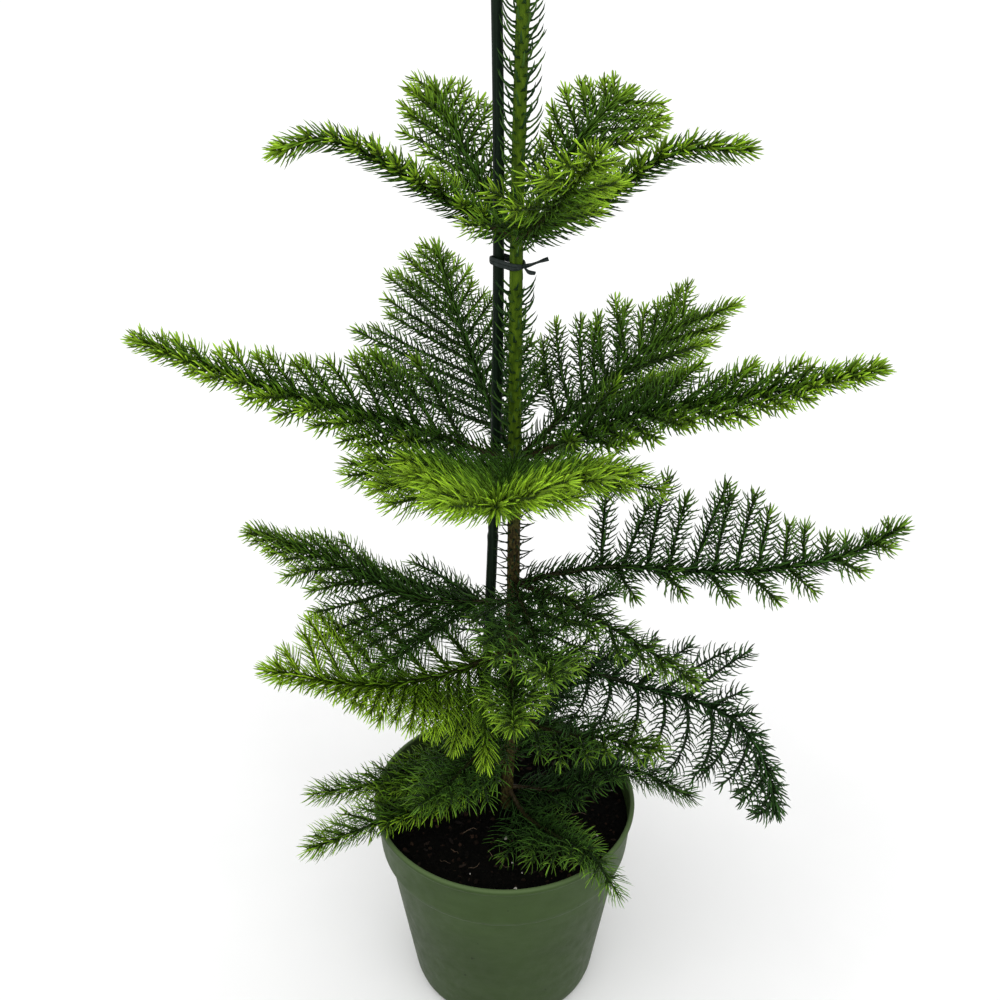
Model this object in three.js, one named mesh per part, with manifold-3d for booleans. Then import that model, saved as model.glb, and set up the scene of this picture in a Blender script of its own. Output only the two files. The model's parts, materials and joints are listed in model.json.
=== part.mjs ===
// A juvenile Norfolk Island pine, staked, in a round plastic nursery pot.
// Units are millimetres. The origin is the centre of the pot's underside, and +Z is up.
// -Y is the side that faces the viewer, and azimuths are counted from +X towards +Y.

import * as THREE from 'three';
import { mergeVertices } from 'three/addons/utils/BufferGeometryUtils.js';
import Module from 'manifold-3d';

const wasm = await Module();
wasm.setup();

// Driving dimensions

const GAP = 0.3;                 // left between pieces that touch

const POT_HEIGHT = 131;
const POT_SIDES = 24;            // facets round the pot and round the soil, which match
const RIM_RADIUS = 75;
const LIP_THICKNESS = 3;
const COLLAR_DEPTH = 28;
const COLLAR_FOOT_RADIUS = 71.5;
const COLLAR_STEP = 3;           // the body is this much narrower than the collar
const FOOT_RADIUS = 54;
const FOOT_ROUNDING = 10;
const WALL = 1.8;
const HOLES = 6;
const HOLE_RADIUS = 5;
const HOLE_CIRCLE = 36;

const SOIL_TOP = POT_HEIGHT - 11;
const SOIL_MOUND = 3;            // how much the soil rises towards the trunk
const SOIL_ROUGHNESS = 1.3;
const SOIL_RINGS = 4;            // of its top, from the middle to the wall
const SOIL_SLACK = 0.2;          // more than the gap, where the facets of soil and pot differ

const TRUNK_TOP = 592;           // height of the last needles' roots, under the tuft
const TRUNK_FOOT = 82;           // the stem's lower end, inside the soil
const TRUNK_OFFSET = 1.2;        // it leaves the soil this far to the right of the pot's axis
const TRUNK_LEAN = 0.0145;       // sideways, for each millimetre of height
const TRUNK_SWAY = 1.1;          // its slow bend, drawn in towards the cane where the tie holds it
const TRUNK_SWAY_LENGTH = 480;
const TRUNK_POINTS = 9;          // of its line, evenly spaced in height
const TRUNK_RADIUS = 3.5;
const TRUNK_TIP_RADIUS = 2.8;
const TRUNK_NEEDLE_STEP = 10.5;  // from one ring of needles on the trunk to the next
const TRUNK_SIDES = 5;
const TRUNK_BARE = 16;           // the needleless stretch above the soil
const TIE_BARE = [9, 1];         // and below and above the tie

const STAKE_RADIUS = 2.9;
const STAKE_TOP = 584;
const STAKE_FOOT = 34;
const STAKE_BOW_HEIGHT = POT_HEIGHT + 345;   // the cane is nearest to the trunk here
const STAKE_BOW = 1.0e-4;        // its bend, in millimetres for each squared millimetre
const STAKE_NEAREST = -3;
const STAKE_BEHIND = 8;          // the cane stands this far behind the trunk
const STAKE_NODES = [POT_HEIGHT + 169, POT_HEIGHT + 352];
const STAKE_SWELLING = 0.5;      // of its radius, at a node
const STAKE_CHAMFER = 0.8;       // of its radius, at the top
const STAKE_SECTION = 60;        // between two of its rings

const TIE_HEIGHT = POT_HEIGHT + 319;
const TIE_WIDTH = 3;
const TIE_THICKNESS = 1.2;
const TIE_SLACK = 0.45;          // between the tie and the thicker of the two stems
const TIE_LEAN = -0.69;          // radians from +X to where its ends are twisted together
const KNOT_RADIUS = 2.1;
const KNOT_OUT = 0.9;            // from the tie's outer face to the middle of the knot
const END_SIZE = [1.7, 0.7];     // half the width and half the thickness of a free end
const TIE_ENDS = [
    [[0, 0, 0], [3, -2, 1.5], [7.5, -3, 3.5], [11, -2.5, 4.5]],
    [[0, 0, 0], [2, -3, -1.5], [5, -5, -1.5]],
];

const NEEDLE = 10.5;             // length of a needle on the trunk or on a rachis
const TWIG_NEEDLE = 10;
const NEEDLE_STEP = 9.6;         // from one ring of needles to the next
const NEEDLE_LEAN = 50;          // degrees between a needle and its stem
const TWIG_STEP = 20.8;          // from one pair of twigs to the next
const TWIG_SEAT = 5;             // the stretch of rachis that a pair of twigs grows from
const TWIG_SCATTER = 8;          // degrees between the widest and the narrowest draw of a twig
const TWIG_TUFT = 4;             // the needles at a twig's end reach this far past its stem
const TWIG_VARIETY = 0.2;        // of its length, between the longest and the shortest draw
const TWIG_TURN = 0.92;          // a twig turns aside after half its length, and ends at this share
const TWIG_SAG = 0.03;           // of its length, under its own weight
const SHORTEST_TWIG = 8;
const FIRST_TWIG = 16;           // the first twigs are at least this far from the trunk
const FIRST_TWIG_SHARE = 0.14;   // and at this share of a long branch
const RACHIS_RADIUS = 1.2;
const RACHIS_TIP_RADIUS = 0.68;
const TWIG_RADIUS = 0.85;
const TWIG_TAPER = 0.7;          // its tip's share of that
const SPRAY_SIDES = 3;           // corners of a rachis or twig, and needles in one ring
const STEM_CLEARANCE = 0.5;      // kept round each stem
const NEEDLE_HALF_WIDTH = 0.9;
const STEM_TIP = 6;              // the point ahead of a stem's last ring
const TWIG_MARGIN = 2.4;         // kept between a twig's stem and another spray or the pot
const TWIG_CUT = 0.1;            // a twig that comes closer is shortened by this share at a time
const TWIG_LEFT = 0.3;           // and is left off when no more than this share is free
const TWIG_ROOT = 0.12;          // the share of it that may be close to another at its root
const TWIG_BARE = 0.4;           // its needleless stretch is no more than this share of it
const NEEDLE_MARGIN = 0.8;       // kept between a needle and the pot or the soil
const ROOT_BARE = 5;             // the needleless stretch at a branch's root
const TIP_BARE = 10;             // the stretch behind a branch's tip that has no twigs

// How a branch's two rows of twigs are shaped, unless the branch says otherwise. The first number
// of each pair is for the row on its left, seen from the trunk. rows is how long a row is, near its
// share of that by the trunk, full where along the branch it is longest, end what is left at the
// tip, and power how fast it falls off. angles are a twig's degrees from the branch, by the trunk
// and at the tip, for each row, and sweep bends it on towards the tip.

const TWIG_SHAPE = {
    rows: [1, 1],
    near: 0.72,
    full: 0.3,
    end: [0.22, 0.22],
    power: [1.25, 1.25],
    angles: [57, 45, 57, 45],
    sweep: [0.12, 0.12],
};

// The whorls, from the top down. A branch has its azimuth in degrees, its path as reach and rise
// from its root, the length of its longest twig, the lift of its twigs out of the spray's plane, and
// where needed the roll of that plane about the rachis, how far above its whorl it leaves the trunk,
// and where its first twig is.

const WHORLS = [
    { name: 'whorl_1', height: 331, branches: [
        { name: 'left', azimuth: 184, path: [[45, 27], [80, 46], [106, 41]], twig: 19, lift: 28 },
        { name: 'back_left', azimuth: 115, path: [[38, 15], [74, 37], [96, 50]], twig: 40, lift: 14,
          rows: [1, 0.8], near: 0.35, full: 0.55, end: [0.32, 0.36], angles: [66, 46, 58, 46],
          first: 26 },
        { name: 'back_right', azimuth: 52, path: [[34, 27], [66, 44], [90, 50]], twig: 36, lift: 6,
          roll: 16, rows: [0.9, 1.1], near: 0.5, full: 0.6, end: [0.4, 0.5],
          angles: [56, 46, 70, 58], first: 22 },
        { name: 'right', azimuth: -10, path: [[34, 17], [68, 42], [100, 45]], twig: 19, lift: 26 },
        { name: 'front', azimuth: -72, path: [[32, 18], [66, 42], [95, 63]], twig: 46, lift: 4,
          rows: [0.85, 1.05], near: 0.9, full: 0.25, end: [0.2, 0.2], angles: [60, 44, 72, 56],
          first: 22 },
    ] },
    { name: 'whorl_2', height: 218, branches: [
        { name: 'left', azimuth: 180, path: [[67, 24], [124, 42], [180, 65]], twig: 56, lift: 15,
          roll: -12, near: 0.9, full: 0.2, end: [0.14, 0.14], power: [0.8, 0.8] },
        { name: 'back_left', azimuth: 107, path: [[50, 14], [100, 35], [148, 63]], twig: 85, lift: 8,
          rows: [1, 0.66], near: 0.85, full: 0.3, end: [0.14, 0.14], power: [1, 1],
          angles: [58, 40, 58, 40] },
        { name: 'back_right', azimuth: 39, path: [[40, 18], [86, 35], [122, 47]], twig: 70, lift: 6,
          roll: -5, rows: [1, 0.82], near: 1.06, full: 0.3, end: [0.45, 0.58], power: [1.2, 1.3],
          angles: [62, 38, 57, 36], first: 28 },
        { name: 'right', azimuth: -17, path: [[60, 33], [115, 52], [167, 71]], twig: 42, lift: 8,
          roll: 10, near: 0.9, full: 0.3, end: [0.2, 0.2] },
        { name: 'front', azimuth: -93, path: [[55, 20], [112, 44], [164, 68]], twig: 92, lift: 9,
          rows: [0.88, 1], near: 0.95, full: 0.1, end: [0.26, 0.26], power: [1, 1],
          angles: [68, 50, 68, 50] },
    ] },
    { name: 'whorl_3', height: 146, branches: [
        { name: 'right', azimuth: 3, path: [[48, 8], [112, 3], [168, 9], [203, 28]], twig: 60,
          lift: 14, roll: 24, rows: [1, 0.47], near: 0.95, full: 0.58, end: [0.03, 0.6],
          power: [0.6, 1], angles: [82, 66, 80, 56], sweep: [0.04, 0.1], first: 44 },
        { name: 'front_right', azimuth: -38, path: [[32, 2], [74, -4], [112, -12]], twig: 36,
          lift: 8, rows: [0.45, 1] },
        { name: 'front', azimuth: -80, path: [[34, 3], [70, 5], [102, 12]], twig: 44, lift: 8 },
        { name: 'left', azimuth: 172, above: -12, path: [[50, -3], [92, 15], [140, 33]], twig: 72,
          lift: 0, roll: -14, rows: [1, 0.7], near: 1, full: 0.2, end: [0.12, 0.12],
          power: [0.8, 0.9], angles: [56, 34, 40, 26], first: 16 },
    ] },
    { name: 'whorl_4', height: 103, branches: [
        { name: 'right', azimuth: -13, path: [[60, -11], [114, -22], [139, -51], [149, -87]],
          twig: 54, lift: 0, roll: 40, rows: [0.9, 1], near: 0.55, full: 0.5, end: [0, 0.25],
          power: [0.35, 1.6], angles: [58, 50, 72, 54], sweep: [0.1, -0.42] },
        { name: 'back_right', azimuth: 48, path: [[30, 0], [62, -2], [94, -4]], twig: 34, lift: 8 },
        { name: 'back_left', azimuth: 115, path: [[28, -2], [56, -6], [84, -8]], twig: 30, lift: 8 },
        { name: 'front_left', azimuth: 205, path: [[42, -4], [84, 4], [134, 29]], twig: 64, lift: 0,
          roll: -34, rows: [0.9, 1], near: 1, full: 0.15, end: [0.05, 0], power: [0.55, 2.2],
          angles: [80, 50, 84, 60] },
        { name: 'front', azimuth: -90, path: [[30, 2], [60, 9], [88, 18]], twig: 26, lift: 0 },
    ] },
    { name: 'whorl_5', height: 62, branches: [
        { name: 'front_right', azimuth: -35, path: [[30, -2], [64, 10], [94, 16]], twig: 36, lift: 4 },
        { name: 'back_right', azimuth: 35, path: [[28, 2], [56, 6], [84, 2]], twig: 30, lift: 4 },
        { name: 'back', azimuth: 96, path: [[26, 2], [54, 4], [80, 0]], twig: 30, lift: 4 },
        { name: 'left', azimuth: 171, path: [[30, 2], [64, 8], [100, 8]], twig: 24, lift: 4 },
        { name: 'front_left', azimuth: -124, path: [[26, -8], [56, -10], [84, -6]], twig: 36,
          lift: 4 },
    ] },
    { name: 'whorl_6', height: 27, branches: [
        { name: 'front_left', azimuth: 206, path: [[42, -12], [80, -16], [121, -18]], twig: 36,
          lift: 6, rows: [0.5, 1] },
        { name: 'left', azimuth: 184, above: 9, path: [[34, -12], [72, -22], [113, -29]], twig: 26,
          lift: 8 },
        { name: 'back_left', azimuth: 128, path: [[28, -4], [60, -6], [92, -10]], twig: 28, lift: 4 },
        { name: 'back_right', azimuth: 64, path: [[28, -4], [60, -6], [92, -10]], twig: 30, lift: 4 },
    ] },
    { name: 'whorl_7', height: 6, branches: [
        { name: 'right', azimuth: 0, path: [[32, -2], [64, 15], [107, -8]], twig: 26, lift: 8 },
        { name: 'front_right', azimuth: -56, path: [[20, -8], [54, 2], [80, 11], [102, 2]], twig: 34,
          lift: 2, rows: [0.75, 1.1], near: 1.1, full: 0.2, end: [0.1, 0.1],
          angles: [57, 45, 76, 50] },
    ] },
];

// Seeded random numbers

function seeded(seed) {
    let state = seed >>> 0;
    return () => {
        state = (state + 0x6d2b79f5) >>> 0;
        let t = state;
        t = Math.imul(t ^ (t >>> 15), t | 1);
        t ^= t + Math.imul(t ^ (t >>> 7), t | 61);
        return ((t ^ (t >>> 14)) >>> 0) / 4294967296;
    };
}

function seedOf(text) {
    return [...text].reduce((sum, letter) => (Math.imul(sum, 31) + letter.charCodeAt(0)) >>> 0, 7);
}

// Solids

function solidOf(geometry) {
    const plain = geometry.clone();
    plain.deleteAttribute('normal');
    plain.deleteAttribute('uv');
    const merged = mergeVertices(plain, 1e-4);
    return new wasm.Manifold(new wasm.Mesh({
        numProp: 3,
        vertProperties: new Float32Array(merged.attributes.position.array),
        triVerts: new Uint32Array(merged.index.array),
    }));
}

function geometryOf(solid) {
    const mesh = solid.getMesh();
    const geometry = new THREE.BufferGeometry();
    geometry.setAttribute('position', new THREE.BufferAttribute(mesh.vertProperties, 3));
    geometry.setIndex(new THREE.BufferAttribute(mesh.triVerts, 1));
    geometry.computeVertexNormals();
    return geometry;
}

function join(solids) {
    return solids.reduce((whole, solid) => whole.add(solid));
}

function smoothPath(points) {
    return new THREE.CatmullRomCurve3(points, false, 'catmullrom', 0.5);
}

// Where the trunk and the cane stand

function trunkAt(z) {
    const height = z - SOIL_TOP;
    const sway = TRUNK_SWAY * Math.sin((2 * Math.PI * height) / TRUNK_SWAY_LENGTH);
    return new THREE.Vector3(TRUNK_OFFSET + TRUNK_LEAN * height + sway, 0, z);
}

function trunkCurve() {
    const step = (TRUNK_TOP - TRUNK_FOOT) / (TRUNK_POINTS - 1);
    return smoothPath(Array.from({ length: TRUNK_POINTS }, (_, n) => trunkAt(TRUNK_FOOT + step * n)));
}

function trunkRadius(z) {
    return THREE.MathUtils.mapLinear(z, TRUNK_FOOT, TRUNK_TOP, TRUNK_RADIUS, TRUNK_TIP_RADIUS);
}

function stakeAt(z) {
    const x = STAKE_NEAREST - STAKE_BOW * (z - STAKE_BOW_HEIGHT) ** 2;
    return new THREE.Vector3(x, STAKE_BEHIND, z);
}

function potOuterRadius(z) {
    const collarFoot = POT_HEIGHT - COLLAR_DEPTH;
    if (z >= collarFoot) {
        return THREE.MathUtils.mapLinear(z, collarFoot, POT_HEIGHT, COLLAR_FOOT_RADIUS, RIM_RADIUS);
    }
    return THREE.MathUtils.mapLinear(z, 0, collarFoot, FOOT_RADIUS, COLLAR_FOOT_RADIUS - COLLAR_STEP);
}

// Room taken by the stems and needles that are already placed, so that no piece crosses another

const ROOM_CELL = 14;

class Room {
    constructor() {
        this.cells = new Map();
    }

    keysAround(a, b, reach) {
        const low = a.clone().min(b).subScalar(reach).divideScalar(ROOM_CELL).floor();
        const high = a.clone().max(b).addScalar(reach).divideScalar(ROOM_CELL).floor();
        const keys = [];
        for (let x = low.x; x <= high.x; x += 1) {
            for (let y = low.y; y <= high.y; y += 1) {
                for (let z = low.z; z <= high.z; z += 1) {
                    keys.push(`${x},${y},${z}`);
                }
            }
        }
        return keys;
    }

    take(a, b, radius, spray, stem) {
        const entry = { a: a.clone(), b: b.clone(), radius, spray, stem };
        for (const key of this.keysAround(a, b, radius)) {
            if (!this.cells.has(key)) {
                this.cells.set(key, []);
            }
            this.cells.get(key).push(entry);
        }
    }

    isFree(a, b, radius, isOwn) {
        for (const key of this.keysAround(a, b, radius + 1)) {
            for (const entry of this.cells.get(key) ?? []) {
                if (!isOwn(entry) && distance(a, b, entry.a, entry.b) < radius + entry.radius) {
                    return false;
                }
            }
        }
        return true;
    }
}

// Shortest distance between the segments a-b and c-d

function distance(a, b, c, d) {
    const u = b.clone().sub(a);
    const v = d.clone().sub(c);
    const w = a.clone().sub(c);
    const uu = u.dot(u);
    const uv = u.dot(v);
    const vv = v.dot(v);
    const uw = u.dot(w);
    const vw = v.dot(w);
    const cross = uu * vv - uv * uv;
    const clamp = (value) => THREE.MathUtils.clamp(value, 0, 1);
    let s = cross > 1e-9 ? clamp((uv * vw - vv * uw) / cross) : 0;
    const t = clamp((uv * s + vw) / vv);
    s = clamp((uv * t - uw) / uu);
    return w.addScaledVector(u, s).addScaledVector(v, -t).length();
}

const room = new Room();

// A needle or twig must stay above the soil and clear of the pot's wall.

function clearOfPot(point, margin) {
    const r = Math.hypot(point.x, point.y);
    if (r < RIM_RADIUS - LIP_THICKNESS - margin) {
        return point.z > SOIL_TOP + SOIL_MOUND * (1 - r / RIM_RADIUS) + SOIL_ROUGHNESS + margin;
    }
    return point.z > POT_HEIGHT + margin || r > potOuterRadius(Math.max(point.z, 0)) + 1 + margin;
}

// A leafy stem is a row of rings with a few corners, each turned half a corner from the last, so
// that the faces between two rings are triangles that point forwards and backwards in turn. Such a
// face is raised into a needle, whose keel runs down the stem as the real leaf bases do, or it is
// the seat that a twig grows from, so that a whole spray is one closed body.

const LEAN = THREE.MathUtils.degToRad(NEEDLE_LEAN);

class Body {
    constructor(name) {
        this.name = name;
        this.points = [];
        this.faces = [];
    }

    add(point) {
        return this.points.push(point) - 1;
    }

    geometry() {
        const geometry = new THREE.BufferGeometry();
        const numbers = this.points.flatMap((p) => [p.x, p.y, p.z]);
        geometry.setAttribute('position', new THREE.Float32BufferAttribute(numbers, 3));
        geometry.setIndex(this.faces.flat());
        geometry.computeVertexNormals();
        return geometry;
    }
}

function frameAt(stem, at) {
    const u = stem.curve.getUtoTmapping(THREE.MathUtils.clamp(at / stem.length, 0, 0.9999));
    const along = stem.curve.getTangent(u);
    const side = stem.across.clone().addScaledVector(along, -stem.across.dot(along)).normalize();
    return { centre: stem.curve.getPoint(u), along, side, up: along.clone().cross(side) };
}

function ringAt(body, stem, at, angle) {
    const { centre, along, side, up } = frameAt(stem, at);
    const r = stem.radiusAt(at);
    const corners = [];
    for (let k = 0; k < stem.sides; k += 1) {
        const phi = angle + (2 * Math.PI * k) / stem.sides;
        const corner = centre.clone().addScaledVector(side, r * Math.cos(phi));
        corners.push(body.add(corner.addScaledVector(up, r * Math.sin(phi))));
    }
    return { corners, centre, along, angle };
}

function middleOf(body, face) {
    const sum = face.reduce((total, n) => total.add(body.points[n]), new THREE.Vector3());
    return sum.divideScalar(face.length);
}

// The three corners of a face, seen as the first ring of the twig that grows from it

function ringFrom(body, face, twig) {
    const { along, side, up } = frameAt(twig, 0);
    const centre = middleOf(body, face);
    const mean = new THREE.Vector2();
    face.forEach((n, k) => {
        const arm = body.points[n].clone().sub(centre);
        const phi = Math.atan2(arm.dot(up), arm.dot(side)) - (2 * Math.PI * k) / 3;
        mean.x += Math.cos(phi);
        mean.y += Math.sin(phi);
    });
    return { corners: face, centre, along, angle: mean.angle() };
}

// Raises the face [c, b, d] into a needle over its front edge c-d, on the ring that ends its stretch.

function raise(body, stem, face, ring) {
    const [left, rear, right] = face.map((n) => body.points[n]);
    const root = left.clone().lerp(right, 0.5);
    const out = root.clone().sub(ring.centre);
    out.addScaledVector(ring.along, -out.dot(ring.along)).normalize();
    const tip = root.clone().addScaledVector(out, stem.needle * Math.sin(LEAN))
        .addScaledVector(ring.along, stem.needle * Math.cos(LEAN));
    if (!stem.allowed(tip, [root, middleOf(body, face), rear.clone().lerp(tip, 0.1)])) {
        body.faces.push(face);
        return;
    }
    const apex = body.add(tip);
    const [a, b, c] = face;
    body.faces.push([a, b, apex], [b, c, apex], [c, a, apex]);
}

// Each stretch ends at a distance along the stem. A bare one has no needles, and one with seats
// has a twig on its left face, at angle 0, and one on its right face, at angle 180 degrees.

function growStem(body, stem, firstRing, stretches) {
    const half = Math.PI / stem.sides;
    let ring = firstRing;
    for (const stretch of stretches) {
        const next = ringAt(body, stem, stretch.end, ring.angle + half);
        const seatAt = (angle) => stretch.seats?.find((twig) => Math.cos(angle - twig.angle) > 0.99);
        for (let k = 0; k < stem.sides; k += 1) {
            const a = ring.corners[k];
            const b = ring.corners[(k + 1) % stem.sides];
            const c = next.corners[k];
            const d = next.corners[(k + 1) % stem.sides];
            const rearSeat = seatAt(ring.angle + half * (2 * k + 1));
            if (rearSeat) {
                growTwig(body, [a, b, c], rearSeat);
            } else {
                body.faces.push([a, b, c]);
            }
            const frontSeat = seatAt(ring.angle + half * (2 * k + 2));
            if (frontSeat) {
                growTwig(body, [c, b, d], frontSeat);
            } else if (stretch.bare) {
                body.faces.push([c, b, d]);
            } else {
                raise(body, stem, [c, b, d], next);
            }
        }
        ring = next;
    }
    const point = body.add(ring.centre.clone().addScaledVector(ring.along, STEM_TIP));
    for (let k = 0; k < stem.sides; k += 1) {
        body.faces.push([ring.corners[k], ring.corners[(k + 1) % stem.sides], point]);
    }
}

function evenStretches(from, to, step) {
    const count = Math.max(1, Math.round((to - from) / step));
    return Array.from({ length: count }, (_, n) => ({ end: from + ((to - from) * (n + 1)) / count }));
}

function growTwig(body, face, twig) {
    const stem = {
        ...twig,
        sides: SPRAY_SIDES,
        needle: TWIG_NEEDLE,
        allowed: needleRule(body.name, twig.number),
        radiusAt: (at) => TWIG_RADIUS * THREE.MathUtils.mapLinear(at, 0, twig.length, 1, TWIG_TAPER),
    };
    const from = Math.min(TWIG_SEAT, twig.length * TWIG_BARE);
    const stretches = [{ end: from, bare: true }, ...evenStretches(from, twig.length, NEEDLE_STEP)];
    growStem(body, stem, ringFrom(body, face, stem), stretches);
}

// The skeleton of one spray: its rachis, and two rows of twigs that shorten towards the tip

function lengthShare({ near, full, end, power }, row, t) {
    if (t < full) {
        return near + (1 - near) * (t / full);
    }
    return 1 - (1 - end[row]) * ((t - full) / (1 - full)) ** power[row];
}

function scattered(degrees, draw) {
    return THREE.MathUtils.degToRad(degrees + TWIG_SCATTER * (draw() - 0.5));
}

// One twig of a row, as the three points of its bend. number tells a spray's stems apart.

function twigAt(shape, row, share, frame, number, draw) {
    const { base, along, across, normal } = frame;
    const [wide, narrow] = shape.angles.slice(2 * row);
    const angle = scattered(wide + (narrow - wide) * share, draw);
    const lift = scattered(shape.lift, draw);
    const longest = shape.twig * shape.rows[row];
    const variety = 1 + TWIG_VARIETY * (draw() - 0.5);
    const wanted = longest * lengthShare(shape, row, share) * variety - TWIG_TUFT;
    const reach = Math.max(SHORTEST_TWIG, wanted);
    const direction = along.clone().multiplyScalar(Math.cos(angle))
        .addScaledVector(across, row === 0 ? Math.sin(angle) : -Math.sin(angle))
        .multiplyScalar(Math.cos(lift))
        .addScaledVector(normal, Math.sin(lift));
    const middle = base.clone().addScaledVector(direction, reach * 0.5);
    const tip = base.clone().addScaledVector(direction, reach * TWIG_TURN)
        .addScaledVector(along, reach * shape.sweep[row]);
    tip.z -= TWIG_SAG * reach;
    return { base, middle, tip, length: reach, across: normal, angle: row * Math.PI, number };
}

function skeletonOf(whorl, branch) {
    const draw = seeded(seedOf(`${whorl.name}_${branch.name}`));
    const azimuth = THREE.MathUtils.degToRad(branch.azimuth);
    const outward = new THREE.Vector3(Math.cos(azimuth), Math.sin(azimuth), 0);
    const height = POT_HEIGHT + whorl.height + (branch.above ?? 0);
    const [reachOut, riseUp] = branch.path[0];
    const tilt = Math.abs(riseUp) / Math.hypot(reachOut, riseUp);
    const start = trunkRadius(height) + GAP + RACHIS_RADIUS * tilt;
    const root = trunkAt(height);
    const points = [[start, 0], ...branch.path].map(([reach, rise]) => (
        root.clone().addScaledVector(outward, reach).add(new THREE.Vector3(0, 0, rise))));
    const rachis = smoothPath(points);
    const length = rachis.getLength();
    const level = new THREE.Vector3(-outward.y, outward.x, 0);
    const roll = THREE.MathUtils.degToRad(branch.roll ?? 0);
    const shape = { ...TWIG_SHAPE, ...branch };
    const first = branch.first ?? Math.max(FIRST_TWIG, length * FIRST_TWIG_SHARE);
    const leafy = length - first - TIP_BARE;
    const pairs = Math.max(2, Math.round(leafy / TWIG_STEP));
    const seats = [];
    for (let n = 0; n <= pairs; n += 1) {
        const at = first + (leafy * n) / pairs;
        const share = at / length;
        const u = rachis.getUtoTmapping(share);
        const along = rachis.getTangent(u);
        const across = level.clone().applyAxisAngle(along, roll);
        const frame = { base: rachis.getPoint(u), along, across, normal: along.clone().cross(across) };
        const twigs = [0, 1].map((row) => twigAt(shape, row, share, frame, 2 * n + row + 1, draw));
        seats.push({ at, twigs });
    }
    const name = `${whorl.name}_${branch.name}`;
    return { name, rachis, length, across: level.applyAxisAngle(outward, roll), seats };
}

// A twig is cut short where its stem would come too close to another spray or to the pot.

function shortened(twig, spray) {
    const isOwn = (entry) => entry.spray === spray;
    for (let share = 1; share > TWIG_LEFT; share -= TWIG_CUT) {
        const middle = twig.base.clone().lerp(twig.middle, share);
        const tip = twig.base.clone().lerp(twig.tip, share);
        const curve = new THREE.QuadraticBezierCurve3(twig.base, middle, tip);
        const end = tip.clone().addScaledVector(curve.getTangent(1), STEM_TIP);
        const nearRoot = twig.base.clone().lerp(tip, TWIG_ROOT);
        const isClear = [middle, end].every((point) => clearOfPot(point, TWIG_MARGIN));
        if (isClear && room.isFree(nearRoot, end, TWIG_RADIUS + TWIG_MARGIN, isOwn)) {
            return { ...twig, curve, end, length: curve.getLength() };
        }
    }
    return null;
}

// A needle is left off where it would come too close to the pot or to anything but its own stem.

function needleRule(spray, stem) {
    const isOwn = (entry) => entry.spray === spray && entry.stem === stem;
    return (tip, roots) => {
        const middle = roots[0].clone().lerp(tip, 0.5);
        if (!clearOfPot(tip, NEEDLE_MARGIN) || !clearOfPot(middle, NEEDLE_MARGIN)) {
            return false;
        }
        if (!roots.every((root) => room.isFree(root, tip, NEEDLE_HALF_WIDTH, isOwn))) {
            return false;
        }
        roots.forEach((root) => room.take(root, tip, NEEDLE_HALF_WIDTH, spray, stem));
        return true;
    };
}

function sprayOf(skeleton) {
    const body = new Body(skeleton.name);
    const { rachis, length, across } = skeleton;
    const stem = {
        curve: rachis,
        length,
        across,
        sides: SPRAY_SIDES,
        needle: NEEDLE,
        allowed: needleRule(skeleton.name, 0),
        radiusAt: (at) => THREE.MathUtils.mapLinear(at, 0, length, RACHIS_RADIUS, RACHIS_TIP_RADIUS),
    };
    const root = ringAt(body, stem, 0, 0);
    body.faces.push([root.corners[0], root.corners[2], root.corners[1]]);
    const stretches = [{ end: ROOT_BARE, bare: true }];
    let reached = ROOT_BARE;
    for (const { at, twigs } of skeleton.seats) {
        stretches.push(...evenStretches(reached, at - TWIG_SEAT / 2, NEEDLE_STEP));
        stretches.push({ end: at + TWIG_SEAT / 2, seats: twigs });
        reached = at + TWIG_SEAT / 2;
    }
    stretches.push({ end: length });
    growStem(body, stem, root, stretches);
    return body.geometry();
}

// The pot: one profile turned about Z, closed on itself, with drainage holes through the floor

function potGeometry() {
    const collarFoot = POT_HEIGHT - COLLAR_DEPTH;
    const bodyRadius = COLLAR_FOOT_RADIUS - COLLAR_STEP;
    const taper = (bodyRadius - FOOT_RADIUS) / collarFoot;
    const outline = new THREE.Path();
    outline.moveTo(8, 0);
    outline.lineTo(FOOT_RADIUS - FOOT_ROUNDING, 0);
    outline.quadraticCurveTo(FOOT_RADIUS, 0, FOOT_RADIUS + taper * FOOT_ROUNDING, FOOT_ROUNDING);
    outline.lineTo(bodyRadius, collarFoot - 3);
    outline.lineTo(COLLAR_FOOT_RADIUS, collarFoot);
    outline.lineTo(RIM_RADIUS - 1.6, POT_HEIGHT - 4);
    outline.lineTo(RIM_RADIUS, POT_HEIGHT - 3);
    outline.quadraticCurveTo(RIM_RADIUS + 0.2, POT_HEIGHT, RIM_RADIUS - 1.5, POT_HEIGHT);
    outline.lineTo(RIM_RADIUS - LIP_THICKNESS, POT_HEIGHT - 1);
    outline.lineTo(COLLAR_FOOT_RADIUS - WALL, collarFoot + 1);
    outline.lineTo(bodyRadius - WALL, collarFoot - 4);
    outline.lineTo(FOOT_RADIUS + taper * FOOT_ROUNDING - WALL, FOOT_ROUNDING);
    outline.quadraticCurveTo(FOOT_RADIUS - WALL, WALL, FOOT_RADIUS - FOOT_ROUNDING - 1, WALL);
    const profile = outline.getPoints(2).map((p) => new THREE.Vector2(p.x, p.y));
    profile[0].x = 0;
    profile.push(new THREE.Vector2(0, WALL));
    const shell = turned(profile, POT_SIDES);
    const drills = [];
    for (let n = 0; n < HOLES; n += 1) {
        const angle = (2 * Math.PI * (n + 0.5)) / HOLES;
        const drill = new THREE.CylinderGeometry(HOLE_RADIUS, HOLE_RADIUS, 6 * WALL, 10);
        drill.rotateX(Math.PI / 2);
        drill.translate(HOLE_CIRCLE * Math.cos(angle), HOLE_CIRCLE * Math.sin(angle), WALL / 2);
        drills.push(solidOf(drill));
    }
    return geometryOf(drills.reduce((body, drill) => body.subtract(drill), shell));
}

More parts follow.
